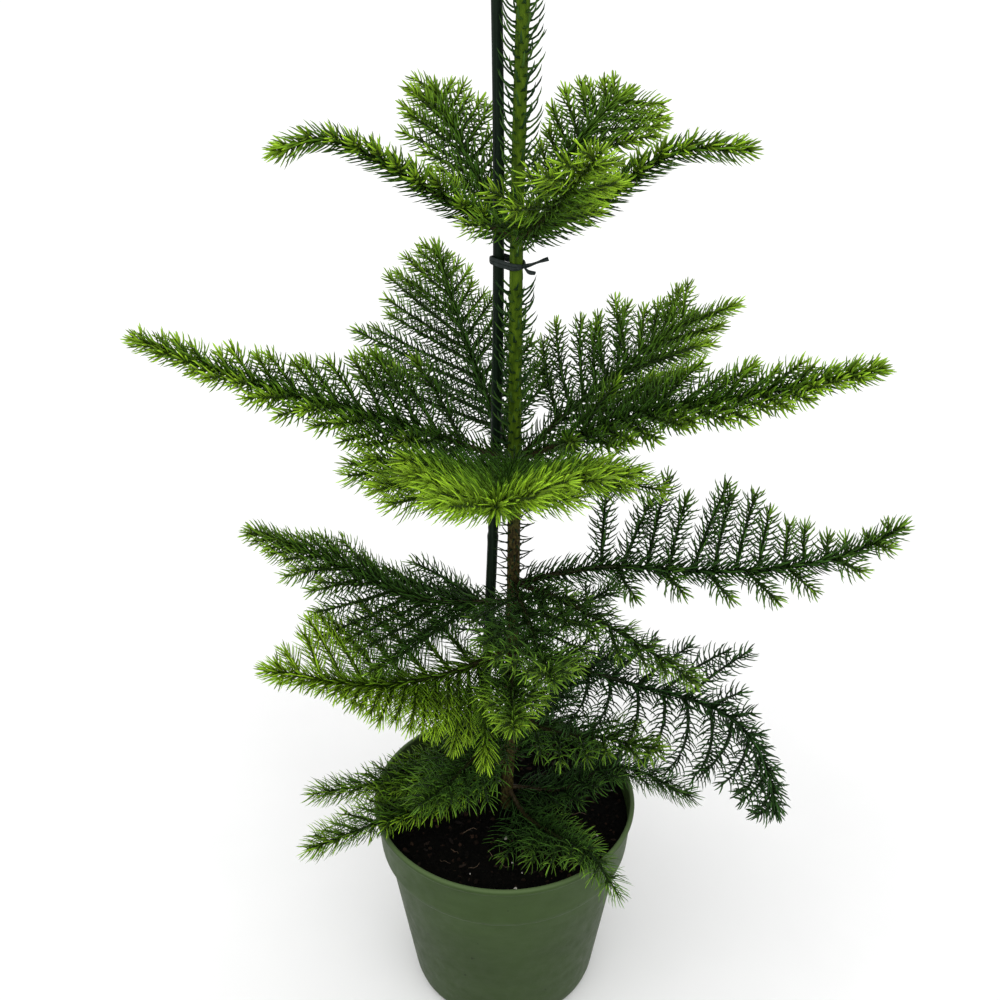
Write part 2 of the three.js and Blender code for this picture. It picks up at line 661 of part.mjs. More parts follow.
function turned(profile, segments) {
    const geometry = new THREE.LatheGeometry(profile, segments);
    geometry.rotateX(Math.PI / 2);
    return solidOf(geometry);
}

// The soil: fills the pot, slightly mounded and crumbly on top, with plain holes for both stems

function soilGeometry() {
    const draw = seeded(11);
    const collarFoot = POT_HEIGHT - COLLAR_DEPTH;
    const bodyRadius = COLLAR_FOOT_RADIUS - COLLAR_STEP;
    const taper = (bodyRadius - FOOT_RADIUS) / collarFoot;
    const inset = WALL + GAP + SOIL_SLACK;
    const topRadius = THREE.MathUtils.mapLinear(SOIL_TOP, collarFoot, POT_HEIGHT,
        COLLAR_FOOT_RADIUS - WALL, RIM_RADIUS - LIP_THICKNESS) - GAP - SOIL_SLACK;
    const profile = [
        [0, WALL + GAP],
        [FOOT_RADIUS - FOOT_ROUNDING - 2, WALL + GAP],
        [FOOT_RADIUS + taper * FOOT_ROUNDING - inset - 1.2, FOOT_ROUNDING + 1],
        [bodyRadius - inset, collarFoot - 5],
        [COLLAR_FOOT_RADIUS - inset - 0.3, collarFoot + 2],
        [topRadius, SOIL_TOP - 1],
    ];
    for (let n = SOIL_RINGS - 1; n >= 0; n -= 1) {
        const share = n / SOIL_RINGS;
        profile.push([topRadius * share, SOIL_TOP + SOIL_MOUND * (1 - share ** 2)]);
    }
    const geometry = new THREE.LatheGeometry(profile.map(([r, z]) => new THREE.Vector2(r, z)), POT_SIDES);
    geometry.rotateX(Math.PI / 2);
    geometry.deleteAttribute('normal');
    geometry.deleteAttribute('uv');
    const merged = mergeVertices(geometry, 1e-4);
    const position = merged.attributes.position;
    for (let n = 0; n < position.count; n += 1) {
        const r = Math.hypot(position.getX(n), position.getY(n));
        if (position.getZ(n) > SOIL_TOP - 0.5 && r < topRadius - 4) {
            position.setZ(n, position.getZ(n) + SOIL_ROUGHNESS * (2 * draw() - 1));
        }
    }
    const trunkHole = stemSolid(trunkAt, TRUNK_FOOT - 1, SOIL_TOP + 8, () => TRUNK_RADIUS + GAP, 8);
    const stakeHole = stemSolid(stakeAt, STAKE_FOOT - 1, SOIL_TOP + 8, () => STAKE_RADIUS + GAP, 8);
    return geometryOf(solidOf(merged).subtract(trunkHole).subtract(stakeHole));
}

// A plain round stem between two heights, along the line that placeAt gives

function stemSolid(placeAt, low, high, radiusAt, sides, heights = [low, high]) {
    const positions = [];
    const faces = [];
    heights.forEach((z, n) => {
        const centre = placeAt(z);
        for (let k = 0; k < sides; k += 1) {
            const phi = (2 * Math.PI * k) / sides;
            const r = radiusAt(z);
            positions.push(centre.x + r * Math.cos(phi), centre.y + r * Math.sin(phi), z);
        }
        for (let k = 0; k < sides && n > 0; k += 1) {
            const a = (n - 1) * sides + k;
            const b = (n - 1) * sides + (k + 1) % sides;
            faces.push([a, b, b + sides], [a, b + sides, a + sides]);
        }
    });
    for (let k = 1; k < sides - 1; k += 1) {
        const top = (heights.length - 1) * sides;
        faces.push([0, k + 1, k], [top, top + k, top + k + 1]);
    }
    const geometry = new THREE.BufferGeometry();
    geometry.setAttribute('position', new THREE.Float32BufferAttribute(positions, 3));
    geometry.setIndex(faces.flat());
    return solidOf(geometry);
}

// The cane: round, slightly bowed, with low swollen rings at its nodes

function stakeGeometry() {
    const heights = [STAKE_FOOT, STAKE_TOP - 1.5, STAKE_TOP];
    for (let z = STAKE_FOOT + STAKE_SECTION; z < STAKE_TOP - 20; z += STAKE_SECTION) {
        heights.push(z);
    }
    for (const node of STAKE_NODES) {
        heights.push(node - 2.5, node, node + 1.5);
    }
    heights.sort((a, b) => a - b);
    const radiusAt = (z) => {
        const swelling = STAKE_NODES.includes(z) ? STAKE_SWELLING : 0;
        const end = z === STAKE_TOP ? STAKE_CHAMFER : 0;
        return STAKE_RADIUS + swelling - end;
    };
    return geometryOf(stemSolid(stakeAt, STAKE_FOOT, STAKE_TOP, radiusAt, 8, heights));
}

// The tie: a flat strip round the cane and the trunk, twisted together in front, with two free ends

function tieGeometry() {
    const trunk = trunkAt(TIE_HEIGHT);
    const stake = stakeAt(TIE_HEIGHT);
    const inner = Math.max(STAKE_RADIUS, trunkRadius(TIE_HEIGHT)) + TIE_SLACK;
    const across = new THREE.Vector2(trunk.x - stake.x, trunk.y - stake.y);
    const heading = across.angle();
    const loopOutline = (path, r) => {
        path.absarc(trunk.x, trunk.y, r, heading - Math.PI / 2, heading + Math.PI / 2, false);
        path.absarc(stake.x, stake.y, r, heading + Math.PI / 2, heading + 3 * Math.PI / 2, false);
        return path;
    };
    const loop = loopOutline(new THREE.Shape(), inner + TIE_THICKNESS);
    loop.holes.push(loopOutline(new THREE.Path(), inner));
    const strip = { depth: TIE_WIDTH, bevelEnabled: false, curveSegments: 4 };
    const band = new THREE.ExtrudeGeometry(loop, strip);
    band.translate(0, 0, TIE_HEIGHT - TIE_WIDTH / 2);
    const towards = new THREE.Vector3(Math.cos(TIE_LEAN), Math.sin(TIE_LEAN), 0);
    const knotPlace = trunk.clone().addScaledVector(towards, inner + TIE_THICKNESS + KNOT_OUT);
    const ends = TIE_ENDS.map((route) => {
        const curve = smoothPath(route.map((p) => new THREE.Vector3(...p).add(knotPlace)));
        const section = new THREE.Shape();
        section.absellipse(0, 0, ...END_SIZE, 0, 2 * Math.PI);
        return new THREE.ExtrudeGeometry(section, { steps: 4, extrudePath: curve, curveSegments: 3 });
    });
    const knot = new THREE.SphereGeometry(KNOT_RADIUS, 7, 5);
    knot.scale(1, 0.9, 1.1);
    knot.translate(knotPlace.x, knotPlace.y, knotPlace.z);
    return geometryOf(join([band, knot, ...ends].map(solidOf)));
}

// The trunk: bare inside the soil and just above it, needled from there to the leader's tip, with a
// bare band where the tie holds it

function trunkGeometry() {
    const body = new Body('trunk');
    const curve = trunkCurve();
    const length = curve.getLength();
    const stem = {
        curve,
        length,
        across: new THREE.Vector3(1, 0, 0),
        sides: TRUNK_SIDES,
        needle: NEEDLE,
        allowed: needleRule('trunk', 0),
        radiusAt: (at) => trunkRadius(TRUNK_FOOT + at),
    };
    const foot = ringAt(body, stem, 0, 0);
    for (let k = 1; k < stem.sides - 1; k += 1) {
        body.faces.push([foot.corners[0], foot.corners[k + 1], foot.corners[k]]);
    }
    const bareTop = SOIL_TOP + TRUNK_BARE - TRUNK_FOOT;
    const tieLow = TIE_HEIGHT - TIE_WIDTH / 2 - TIE_BARE[0] - TRUNK_FOOT;
    const tieHigh = TIE_HEIGHT + TIE_WIDTH / 2 + TIE_BARE[1] - TRUNK_FOOT;
    const stretches = [
        { end: bareTop, bare: true },
        ...evenStretches(bareTop, tieLow, TRUNK_NEEDLE_STEP),
        { end: tieHigh, bare: true },
        ...evenStretches(tieHigh, length, TRUNK_NEEDLE_STEP),
    ];
    growStem(body, stem, foot, stretches);
    return body.geometry();
}

// Takes up room along a curve, in short straight stretches.

function takeCurve(curve, steps, radius, spray) {
    const points = curve.getPoints(steps);
    for (let n = 0; n < steps; n += 1) {
        room.take(points[n], points[n + 1], radius, spray, 0);
    }
}

// Building

const tree = new THREE.Group();
const materials = {
    pot: { color: 0x5a7350, roughness: 0.5, metalness: 0 },
    soil: { color: 0x1c1612, roughness: 1, metalness: 0 },
    stake: { color: 0x16261c, roughness: 0.6, metalness: 0 },
    tie: { color: 0x1f2b25, roughness: 0.5, metalness: 0 },
    trunk: { color: 0x4f5a26, roughness: 0.8, metalness: 0 },
    spray: { color: 0x3f6f2a, roughness: 0.55, metalness: 0 },
};

function place(name, geometry, look) {
    const mesh = new THREE.Mesh(geometry, new THREE.MeshStandardMaterial(materials[look]));
    mesh.name = name;
    tree.add(mesh);
}

const skeletons = WHORLS.flatMap((whorl) => whorl.branches.map((branch) => skeletonOf(whorl, branch)));

takeCurve(trunkCurve(), 12, TRUNK_RADIUS, 'trunk');
const caneCurve = smoothPath([STAKE_FOOT, 200, 350, 480, STAKE_TOP].map(stakeAt));
takeCurve(caneCurve, 16, STAKE_RADIUS + STEM_CLEARANCE, 'stake');
for (const skeleton of skeletons) {
    takeCurve(skeleton.rachis, 14, RACHIS_RADIUS + STEM_CLEARANCE, skeleton.name);
}
for (const skeleton of skeletons) {
    for (const seat of skeleton.seats) {
        const cut = seat.twigs.map((twig) => shortened(twig, skeleton.name));
        seat.twigs = cut.filter((twig) => twig !== null);
        for (const twig of seat.twigs) {
            const bend = twig.curve.getPoint(0.5);
            room.take(twig.base, bend, TWIG_RADIUS + STEM_CLEARANCE, skeleton.name, twig.number);
            room.take(bend, twig.end, TWIG_RADIUS + STEM_CLEARANCE, skeleton.name, twig.number);
        }
    }
}

place('pot', potGeometry(), 'pot');
place('soil', soilGeometry(), 'soil');
place('stake', stakeGeometry(), 'stake');
place('tie_upper', tieGeometry(), 'tie');
place('trunk', trunkGeometry(), 'trunk');
for (const skeleton of skeletons) {
    place(`spray_${skeleton.name}`, sprayOf(skeleton), 'spray');
}

export default tree;
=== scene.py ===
"""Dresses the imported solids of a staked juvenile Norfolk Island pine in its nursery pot."""

import json
import math

import bpy
import numpy as np
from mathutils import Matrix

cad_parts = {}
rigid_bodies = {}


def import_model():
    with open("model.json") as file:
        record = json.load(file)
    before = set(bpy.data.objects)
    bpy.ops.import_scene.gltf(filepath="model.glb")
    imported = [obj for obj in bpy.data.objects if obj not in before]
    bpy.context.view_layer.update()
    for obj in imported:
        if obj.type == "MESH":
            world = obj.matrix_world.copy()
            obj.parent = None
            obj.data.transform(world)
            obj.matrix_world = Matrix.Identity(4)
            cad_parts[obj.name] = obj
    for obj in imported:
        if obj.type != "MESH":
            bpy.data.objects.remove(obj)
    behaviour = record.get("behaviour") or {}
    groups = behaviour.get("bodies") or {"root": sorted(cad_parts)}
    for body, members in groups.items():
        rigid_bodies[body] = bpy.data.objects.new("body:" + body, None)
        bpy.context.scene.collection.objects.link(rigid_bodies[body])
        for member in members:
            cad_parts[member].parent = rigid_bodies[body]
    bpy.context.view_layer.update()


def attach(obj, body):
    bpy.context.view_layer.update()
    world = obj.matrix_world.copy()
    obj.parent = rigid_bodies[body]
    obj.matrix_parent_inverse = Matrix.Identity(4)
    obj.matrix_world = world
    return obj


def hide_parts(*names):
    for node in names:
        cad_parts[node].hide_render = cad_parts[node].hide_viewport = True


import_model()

# Lengths are millimetres, in the frame of the solids, and become metres in a mesh. Angles are
# degrees, and azimuths are counted from +X towards +Y. -Y is the side that faces the viewer.

MM = 0.001
POT_HEIGHT = 131
POT_SIDES = 144
POT_WALL = 1.8
POT_WELD = 0.00002               # in metres: joins the profile's points on the axis
HOLES = 6
HOLE_RADIUS = 5
HOLE_CIRCLE = 36
HOLE_SIDES = 28
HOLE_REACH = (-6, 8)             # a drill's lower and upper end

SOIL_TOP = 120
SOIL_RADIUS = 71
SOIL_FLOOR = 96.0
SOIL_MOUND = 3                   # how much the soil rises towards the trunk
SOIL_WAVES = 0.55                # height of its lumps
SOIL_GRAIN = 0.22
SOIL_RINGS, SOIL_SIDES = 72, 200
LUMP_MARGIN, FIBRE_MARGIN = 2.5, 12
FIBRES = 30

TRUNK_FOOT, TRUNK_TOP = 82, 592
TRUNK_TIP = TRUNK_TOP + 3
TRUNK_OFFSET, TRUNK_LEAN = 1.2, 0.0145
TRUNK_SWAY, TRUNK_SWAY_LENGTH = 1.1, 480
TRUNK_RADII = (3.6, 2.9, 0.8)    # at its foot, just below its top, and at its tip
TRUNK_NEEDLES = 600
BROWN_BELOW = 330
BARE_ABOVE_SOIL = 24

STAKE_FOOT, STAKE_TOP = 34, 584
STAKE_RADII = (2.95, 2.5)
STAKE_NODES = (300, 483)
STAKE_NEAREST = -3               # its place on X where it is nearest to the trunk
STAKE_BOW, STAKE_BOW_HEIGHT = 1.0e-4, 476
STAKE_BEHIND = 8

TIE_HEIGHT = 450
TIE_RADIUS = 3.9                 # from the middle of a stem to the middle of the strip
TIE_BARE = (11, 4)               # below and above the tie, where the trunk has no needles
STRIP_SIDES = 10

GOLDEN = math.radians(137.508)   # from one needle to the next, round the stem
TURN = 6.283                     # a whole turn in radians, for random headings

# A needle: where it bends as shares of its length, on sprays and on the trunk, how it tapers, and
# how deep its keel is
NEEDLE_JOINTS = (0.0, 0.40, 0.78, 1.0)
TRUNK_JOINTS = (0.0, 0.25, 0.5, 0.75, 1.0)
NEEDLE_TAPER = 0.42
NEEDLE_KEEL = 0.62
NEEDLE_SWAY = 0.10

# How needles sit: their angle to the stem at root and tip, how much more their tips lean out behind
# the stem's tip and how much less old ones do, and how far new growth closes them into a brush
ROOT_ANGLE, TIP_ANGLE = 42, 14
TIP_LEAN, HOOKED_LESS = 24, 9
BRUSH = 14
CURL = 14                        # more, for the needles of a branch next to the trunk
CURL_REACH = 60
TIP_STRETCH = 9.0                # the last stretch of a stem, where needles close up and shorten
ANGLE_NOISE = 4

# Stems of a spray: radius at root and tip, sides, and rings
RACHIS_RADII, RACHIS_SIDES, RACHIS_RINGS = (1.5, 0.6), 7, 40
TWIG_RADII, TWIG_SIDES, TWIG_RING_STEP = (1.1, 0.5), 5, 6
BROWN_REACH = 70                 # how far from the trunk a branch is brown
LAST_TWIG = 5                    # from a branch's tip
SHORTEST_TWIG = 5
NEEDLE_REACH = 4                 # how far the last needles reach past a twig's stem

# In metres: where painted shade begins to darken the pot towards its foot and where it is full, and where
# a painted highlight lightens the top of its lip
BODY_SHADE_FADE = (0.1120, 0.0600)
LIP_HIGHLIGHT_FADE = (0.1296, 0.1308)

CAMERA_PLACE = (-0.00246, -0.5684, 0.6505)
CAMERA_TILT = 29.68              # down from level
CAMERA_LENS = 46.8
WORLD_STRENGTH = 0.84
SUN_STRENGTH = 0.90

# The whorls from the top down: name, height above the rim, and branches. A branch has its azimuth,
# its path as reach and rise from its root, its longest twig, the step between its twigs, how far
# they lift out of the spray's plane, the youth of its green (1 is the yellow-green of new growth),
# the length of its needles, and how blue its green is. first is where its first twig is. What a
# branch doesn't say is taken from PLAIN, where the first of a pair is for the row on its left, seen
# from the trunk. The solids are made from the same table, apart from what is for looks alone.

PLAIN = dict(
    above=0,                     # how far above its whorl it leaves the trunk
    roll=0,                      # of the spray's plane about the branch
    rows=(1, 1),                 # how long each row of twigs is
    near=0.72,                   # the twigs' share of their full length by the trunk
    full=0.3,                    # where along the branch they are longest
    end=(0.22, 0.22),            # their share of it at the branch's tip
    power=(1.25, 1.25),          # more, and they keep their length for longer
    angle=(57, 45, 57, 45),      # to the branch, by the trunk and at its tip, for each row
    sweep=(0.12, 0.12),          # how far they bend on towards its tip
    spacing=(1, 1),              # the step of each row
    least=0.88,                  # the shortest twig, against what its place asks
    width=1.0,                   # of a needle
    sparse=1.0,                  # more is fewer needles
    fresh=0.25,                  # youth of the needles on the branch itself, as a share of its own
    even=0.10,                   # the same for the twigs by the trunk
)

WHORLS = [
    ("whorl_1", 331, [
        dict(name="left", azimuth=184, path=[(45, 27), (80, 46), (106, 41)], twig=19, lift=28,
             step=10.5, youth=0.78, needle=10.0, blue=0.0),
        dict(name="back_left", azimuth=115, path=[(38, 15), (74, 37), (96, 50)], twig=40, lift=14,
             rows=(1, 0.8), near=0.35, full=0.55, end=(0.32, 0.36), angle=(66, 46, 58, 46),
             first=26, step=8.2, youth=0.78, needle=8.7, sparse=1.15, blue=0.1),
        dict(name="back_right", azimuth=52, path=[(34, 27), (66, 44), (90, 50)], twig=36, lift=6,
             roll=16, rows=(0.9, 1.1), near=0.5, full=0.6, end=(0.4, 0.5), angle=(56, 46, 70, 58),
             first=22, step=8.2, youth=0.84, needle=8.5, blue=0.1),
        dict(name="right", azimuth=-10, path=[(34, 17), (68, 42), (100, 45)], twig=19, lift=26,
             step=10.5, youth=0.72, needle=10.0, blue=0.0),
        dict(name="front", azimuth=-72, path=[(32, 18), (66, 42), (95, 63)], twig=46, lift=4,
             rows=(0.85, 1.05), near=0.9, full=0.25, end=(0.2, 0.2), first=22,
             angle=(60, 44, 72, 56), fresh=0.3, step=13.5, youth=1.00, needle=11.0, width=0.78,
             sparse=1.45, blue=0.0),
    ]),
    ("whorl_2", 218, [
        dict(name="left", azimuth=180, path=[(67, 24), (124, 42), (180, 65)], twig=56, lift=15,
             roll=-12, near=0.9, full=0.2, end=(0.14, 0.14), power=(0.8, 0.8),
             step=10.5, youth=0.79, needle=9.5, blue=0.0),
        dict(name="back_left", azimuth=107, path=[(50, 14), (100, 35), (148, 63)], twig=85, lift=8,
             rows=(1, 0.66), near=0.85, full=0.3, end=(0.14, 0.14), power=(1.0, 1.0),
             angle=(58, 40, 58, 40), step=10.0, youth=0.76, needle=9.0, width=0.9, blue=0.2),
        dict(name="back_right", azimuth=39, path=[(40, 18), (86, 35), (122, 47)], twig=70, lift=6,
             rows=(1, 0.82), near=1.06, full=0.3, end=(0.45, 0.58), power=(1.2, 1.3), first=28,
             angle=(62, 38, 57, 36), roll=-5, step=8.6, youth=0.82, needle=9.2, width=0.9,
             sparse=1.1, blue=0.1),
        dict(name="right", azimuth=-17, path=[(60, 33), (115, 52), (167, 71)], twig=42, lift=8,
             roll=10, near=0.9, full=0.3, end=(0.2, 0.2),
             step=10.5, youth=0.74, needle=9.5, blue=0.0),
        dict(name="front", azimuth=-93, path=[(55, 20), (112, 44), (164, 68)], twig=92, lift=9,
             rows=(0.88, 1), near=0.95, full=0.1, end=(0.26, 0.26), power=(1.0, 1.0),
             angle=(68, 50, 68, 50), step=9.5, youth=0.90, needle=11.8, width=0.74, sparse=0.85,
             blue=0.0),
    ]),
    ("whorl_3", 146, [
        dict(name="right", azimuth=3, path=[(48, 8), (112, 3), (168, 9), (203, 28)], twig=60,
             lift=14, roll=24, rows=(1, 0.47), near=0.95, full=0.58, end=(0.03, 0.6), power=(0.6, 1.0),
             first=44, angle=(82, 66, 80, 56), sweep=(0.04, 0.1), spacing=(1, 1.9), step=12.0,
             youth=0.64, needle=10.5, width=1.05, blue=0.4),
        dict(name="front_right", azimuth=-38, path=[(32, 2), (74, -4), (112, -12)], twig=36, lift=8,
             rows=(0.45, 1), step=15.5, youth=0.66, needle=10.5, width=0.78, sparse=1.45, blue=0.35),
        dict(name="front", azimuth=-80, path=[(34, 3), (70, 5), (102, 12)], twig=44, lift=8,
             step=13.0, youth=0.66, needle=10.5, width=0.78, sparse=1.4, blue=0.35),
        dict(name="left", azimuth=172, above=-12, path=[(50, -3), (92, 15), (140, 33)],
             twig=72, lift=0, roll=-14, rows=(1, 0.7), near=1.0, full=0.2, end=(0.12, 0.12),
             power=(0.8, 0.9), first=16, angle=(56, 34, 40, 26), step=8.5, youth=0.70, needle=9.8,
             width=0.85, blue=0.25),
    ]),
    ("whorl_4", 103, [
        dict(name="right", azimuth=-13, path=[(60, -11), (114, -22), (139, -51), (149, -87)],
             twig=54, lift=0, roll=40, rows=(0.9, 1), angle=(58, 50, 72, 54), sweep=(0.1, -0.42),
             end=(0.0, 0.25), power=(0.35, 1.6), near=0.55, full=0.5,
             step=13.0, youth=0.15, needle=10.6, width=1.08, sparse=1.25, blue=0.5),
        dict(name="back_right", azimuth=48, path=[(30, 0), (62, -2), (94, -4)], twig=34, lift=8,
             step=17.0, youth=0.42, needle=10.0, width=0.8, sparse=1.5, blue=0.35),
        dict(name="back_left", azimuth=115, path=[(28, -2), (56, -6), (84, -8)], twig=30, lift=8,
             step=17.0, youth=0.42, needle=10.0, width=0.8, sparse=1.4, blue=0.35),
        dict(name="front_left", azimuth=205, path=[(42, -4), (84, 4), (134, 29)], twig=64, lift=0,
             roll=-34, rows=(0.9, 1), near=1.0, full=0.15, end=(0.05, 0.0), power=(0.55, 2.2),
             angle=(80, 50, 84, 60), spacing=(0.6, 1.2), fresh=0.55, even=0.28, least=0.78,
             step=10.0, youth=1.0, needle=11.0, width=0.76, sparse=0.8, blue=0.0),
        dict(name="front", azimuth=-90, path=[(30, 2), (60, 9), (88, 18)], twig=26, lift=0,
             step=10.5, youth=0.74, needle=11.5, width=0.72, sparse=1.3, blue=0.15),
    ]),
    ("whorl_5", 62, [
        dict(name="front_right", azimuth=-35, path=[(30, -2), (64, 10), (94, 16)], twig=36, lift=4,
             step=14.0, youth=0.64, needle=11.0, width=0.75, sparse=1.45, blue=0.25),
        dict(name="back_right", azimuth=35, path=[(28, 2), (56, 6), (84, 2)], twig=30, lift=4,
             step=14.0, youth=0.26, needle=10.0, width=0.8, sparse=1.45, blue=0.45),
        dict(name="back", azimuth=96, path=[(26, 2), (54, 4), (80, 0)], twig=30, lift=4,
             step=17.0, youth=0.42, needle=10.0, width=0.8, sparse=1.4, blue=0.35),
        dict(name="left", azimuth=171, path=[(30, 2), (64, 8), (100, 8)], twig=24, lift=4,
             step=12.0, youth=0.36, needle=11.0, width=0.75, blue=0.3),
        dict(name="front_left", azimuth=-124, path=[(26, -8), (56, -10), (84, -6)], twig=36,
             lift=4, step=11.0, youth=0.44, needle=12.5, width=0.62, sparse=1.25, blue=0.2),
    ]),
    ("whorl_6", 27, [
        dict(name="front_left", azimuth=206, path=[(42, -12), (80, -16), (121, -18)], twig=36,
             lift=6, rows=(0.5, 1), step=9.5, youth=0.74, needle=12.0, width=0.66, sparse=1.15, blue=0.1),
        dict(name="left", azimuth=184, above=9, path=[(34, -12), (72, -22), (113, -29)], twig=26,
             lift=8, step=9.5, youth=0.66, needle=12.0, width=0.66, sparse=1.15, blue=0.1),
        dict(name="back_left", azimuth=128, path=[(28, -4), (60, -6), (92, -10)], twig=28, lift=4,
             step=17.0, youth=0.42, needle=10.0, width=0.8, sparse=1.4, blue=0.35),
        dict(name="back_right", azimuth=64, path=[(28, -4), (60, -6), (92, -10)], twig=30, lift=4,
             step=17.0, youth=0.42, needle=10.0, width=0.8, sparse=1.4, blue=0.35),
    ]),
    ("whorl_7", 6, [
        dict(name="right", azimuth=0, path=[(32, -2), (64, 15), (107, -8)], twig=26, lift=8,
             step=12.0, youth=0.44, needle=12.0, width=0.65, blue=0.6),
        dict(name="front_right", azimuth=-56, path=[(20, -8), (54, 2), (80, 11), (102, 2)],
             twig=34, lift=2, rows=(0.75, 1.1), near=1.1, full=0.2, angle=(57, 45, 76, 50),
             end=(0.1, 0.1), step=10.0, youth=0.60, needle=12.5, width=0.58, sparse=1.2, blue=0.5),
    ]),
]


def unit(vectors):
    """The vectors at length one."""
    return vectors / np.maximum(np.linalg.norm(vectors, axis=-1, keepdims=True), 1e-9)


def turned(vector, axis, degrees):
    """The vector turned about the axis."""
    angle = math.radians(degrees)
    axis = unit(axis)
    return (vector * math.cos(angle) + np.cross(axis, vector) * math.sin(angle)
            + axis * np.dot(axis, vector) * (1 - math.cos(angle)))


class Path:
    """A smooth line, read by the distance along it."""

    def __init__(self, points):
        self.points = np.asarray(points, float)
        gaps = np.linalg.norm(np.diff(self.points, axis=0), axis=1)
        self.reached = np.concatenate([[0], np.cumsum(gaps)])
        self.length = float(self.reached[-1])

    @classmethod
    def through(cls, corners, steps=14):
        """A Catmull-Rom line through the corners, as the solids have it."""
        p = np.asarray(corners, float)
        p = np.vstack([2 * p[0] - p[1], p, 2 * p[-1] - p[-2]])
        t = np.linspace(0, 1, steps, endpoint=False)[:, None]
        parts = []
        for a, b, c, d in zip(p[:-3], p[1:-2], p[2:-1], p[3:]):
            m, n = (c - a) / 2, (d - b) / 2
            parts.append(b + m * t + (3 * (c - b) - 2 * m - n) * t**2 + (2 * (b - c) + m + n) * t**3)
        return cls(np.vstack([*parts, p[-2:-1]]))

    @classmethod
    def bent(cls, base, middle, tip, steps=10):
        """A line from base to tip that bends towards middle."""
        t = np.linspace(0, 1, steps)[:, None]
        return cls(base * (1 - t) ** 2 + middle * 2 * t * (1 - t) + tip * t**2)

    def at(self, s):
        s = np.asarray(s, float)
        return np.stack([np.interp(s, self.reached, self.points[:, k]) for k in range(3)], -1)

    def along(self, s, span=0.6):
        s = np.asarray(s, float)
        return unit(self.at(s + span) - self.at(s - span))

    def frames(self, s, across):
        """Where the line is at s, its direction there, and the two directions square to it."""
        along = self.along(s)
        side = unit(across - along * np.sum(along * across, -1, keepdims=True))
        return self.at(s), along, side, np.cross(along, side)


class Sculpt:
    """One mesh in the making: points, triangles, and the facts that its material reads."""

    FACTS = ("young", "blue", "vary", "leaf", "reach")

    def __init__(self):
        self.points, self.faces, self.facts, self.count = [], [], [], 0

    def add(self, points, faces, **facts):
        """Adds points (n, 3) and triangles, with one value a fact or one a point."""
        points = np.asarray(points, float).reshape(-1, 3)
        self.points.append(points)
        self.faces.append(np.asarray(faces, int).reshape(-1, 3) + self.count)
        columns = [np.broadcast_to(np.asarray(facts.get(name, 0.0), float), len(points))
                   for name in self.FACTS]
        self.facts.append(np.stack(columns, -1))
        self.count += len(points)

    def made(self, name, material, smooth=True, facts=FACTS):
        """The finished object."""
        points = np.vstack(self.points) * MM
        faces = np.vstack(self.faces)
        mesh = bpy.data.meshes.new(name)
        mesh.vertices.add(len(points))
        mesh.vertices.foreach_set("co", points.ravel())
        mesh.loops.add(faces.size)
        mesh.loops.foreach_set("vertex_index", faces.ravel().astype(np.int32))
        mesh.polygons.add(len(faces))
        mesh.polygons.foreach_set("loop_start", np.arange(0, faces.size, 3, dtype=np.int32))
        mesh.polygons.foreach_set("use_smooth", np.full(len(faces), smooth))
        for k, fact in enumerate(self.FACTS):
            if fact in facts:
                layer = mesh.attributes.new(fact, "FLOAT", "POINT")
                layer.data.foreach_set("value", np.vstack(self.facts)[:, k].astype(np.float32))
        mesh.update(calc_edges=True)
        mesh.validate()
        mesh.materials.append(material)
        made = bpy.data.objects.new(name, mesh)
        bpy.context.scene.collection.objects.link(made)
        return made


def grid_faces(rows, columns):
    """Triangles between rows of points, each row closed round on itself."""
    faces = []
    for r in range(rows - 1):
        for c in range(columns):
            a, b = r * columns + c, r * columns + (c + 1) % columns
            faces += [(a, b, b + columns), (a, b + columns, a + columns)]
    return faces


def tube_faces(rows, sides):
    """Triangles of rows of points round a stem, with both of its ends closed."""
    last = (rows - 1) * sides
    faces = grid_faces(rows, sides)
    faces += [(0, k + 1, k) for k in range(1, sides - 1)]
    faces += [(last, last + k, last + k + 1) for k in range(1, sides - 1)]
    return faces


def round_angles(sides):
    """The angle of each side round a circle."""
    return np.arange(sides) * 2 * math.pi / sides


def tube(sculpt, path, across, places, radii, sides, **facts):
    """A round stem along the path, closed at both ends. radii is one value or (rows, sides)."""
    places = np.asarray(places, float)
    centre, _, side, up = path.frames(places, across)
    phi = round_angles(sides)
    radii = np.broadcast_to(np.asarray(radii, float), (len(places), sides))
    ring = (side[:, None] * np.cos(phi)[None, :, None] + up[:, None] * np.sin(phi)[None, :, None])
    points = (centre[:, None] + ring * radii[..., None]).reshape(-1, 3)
    spread = {name: np.repeat(np.broadcast_to(value, len(places)), sides)
              for name, value in facts.items()}
    sculpt.add(points, tube_faces(len(places), sides), **spread)


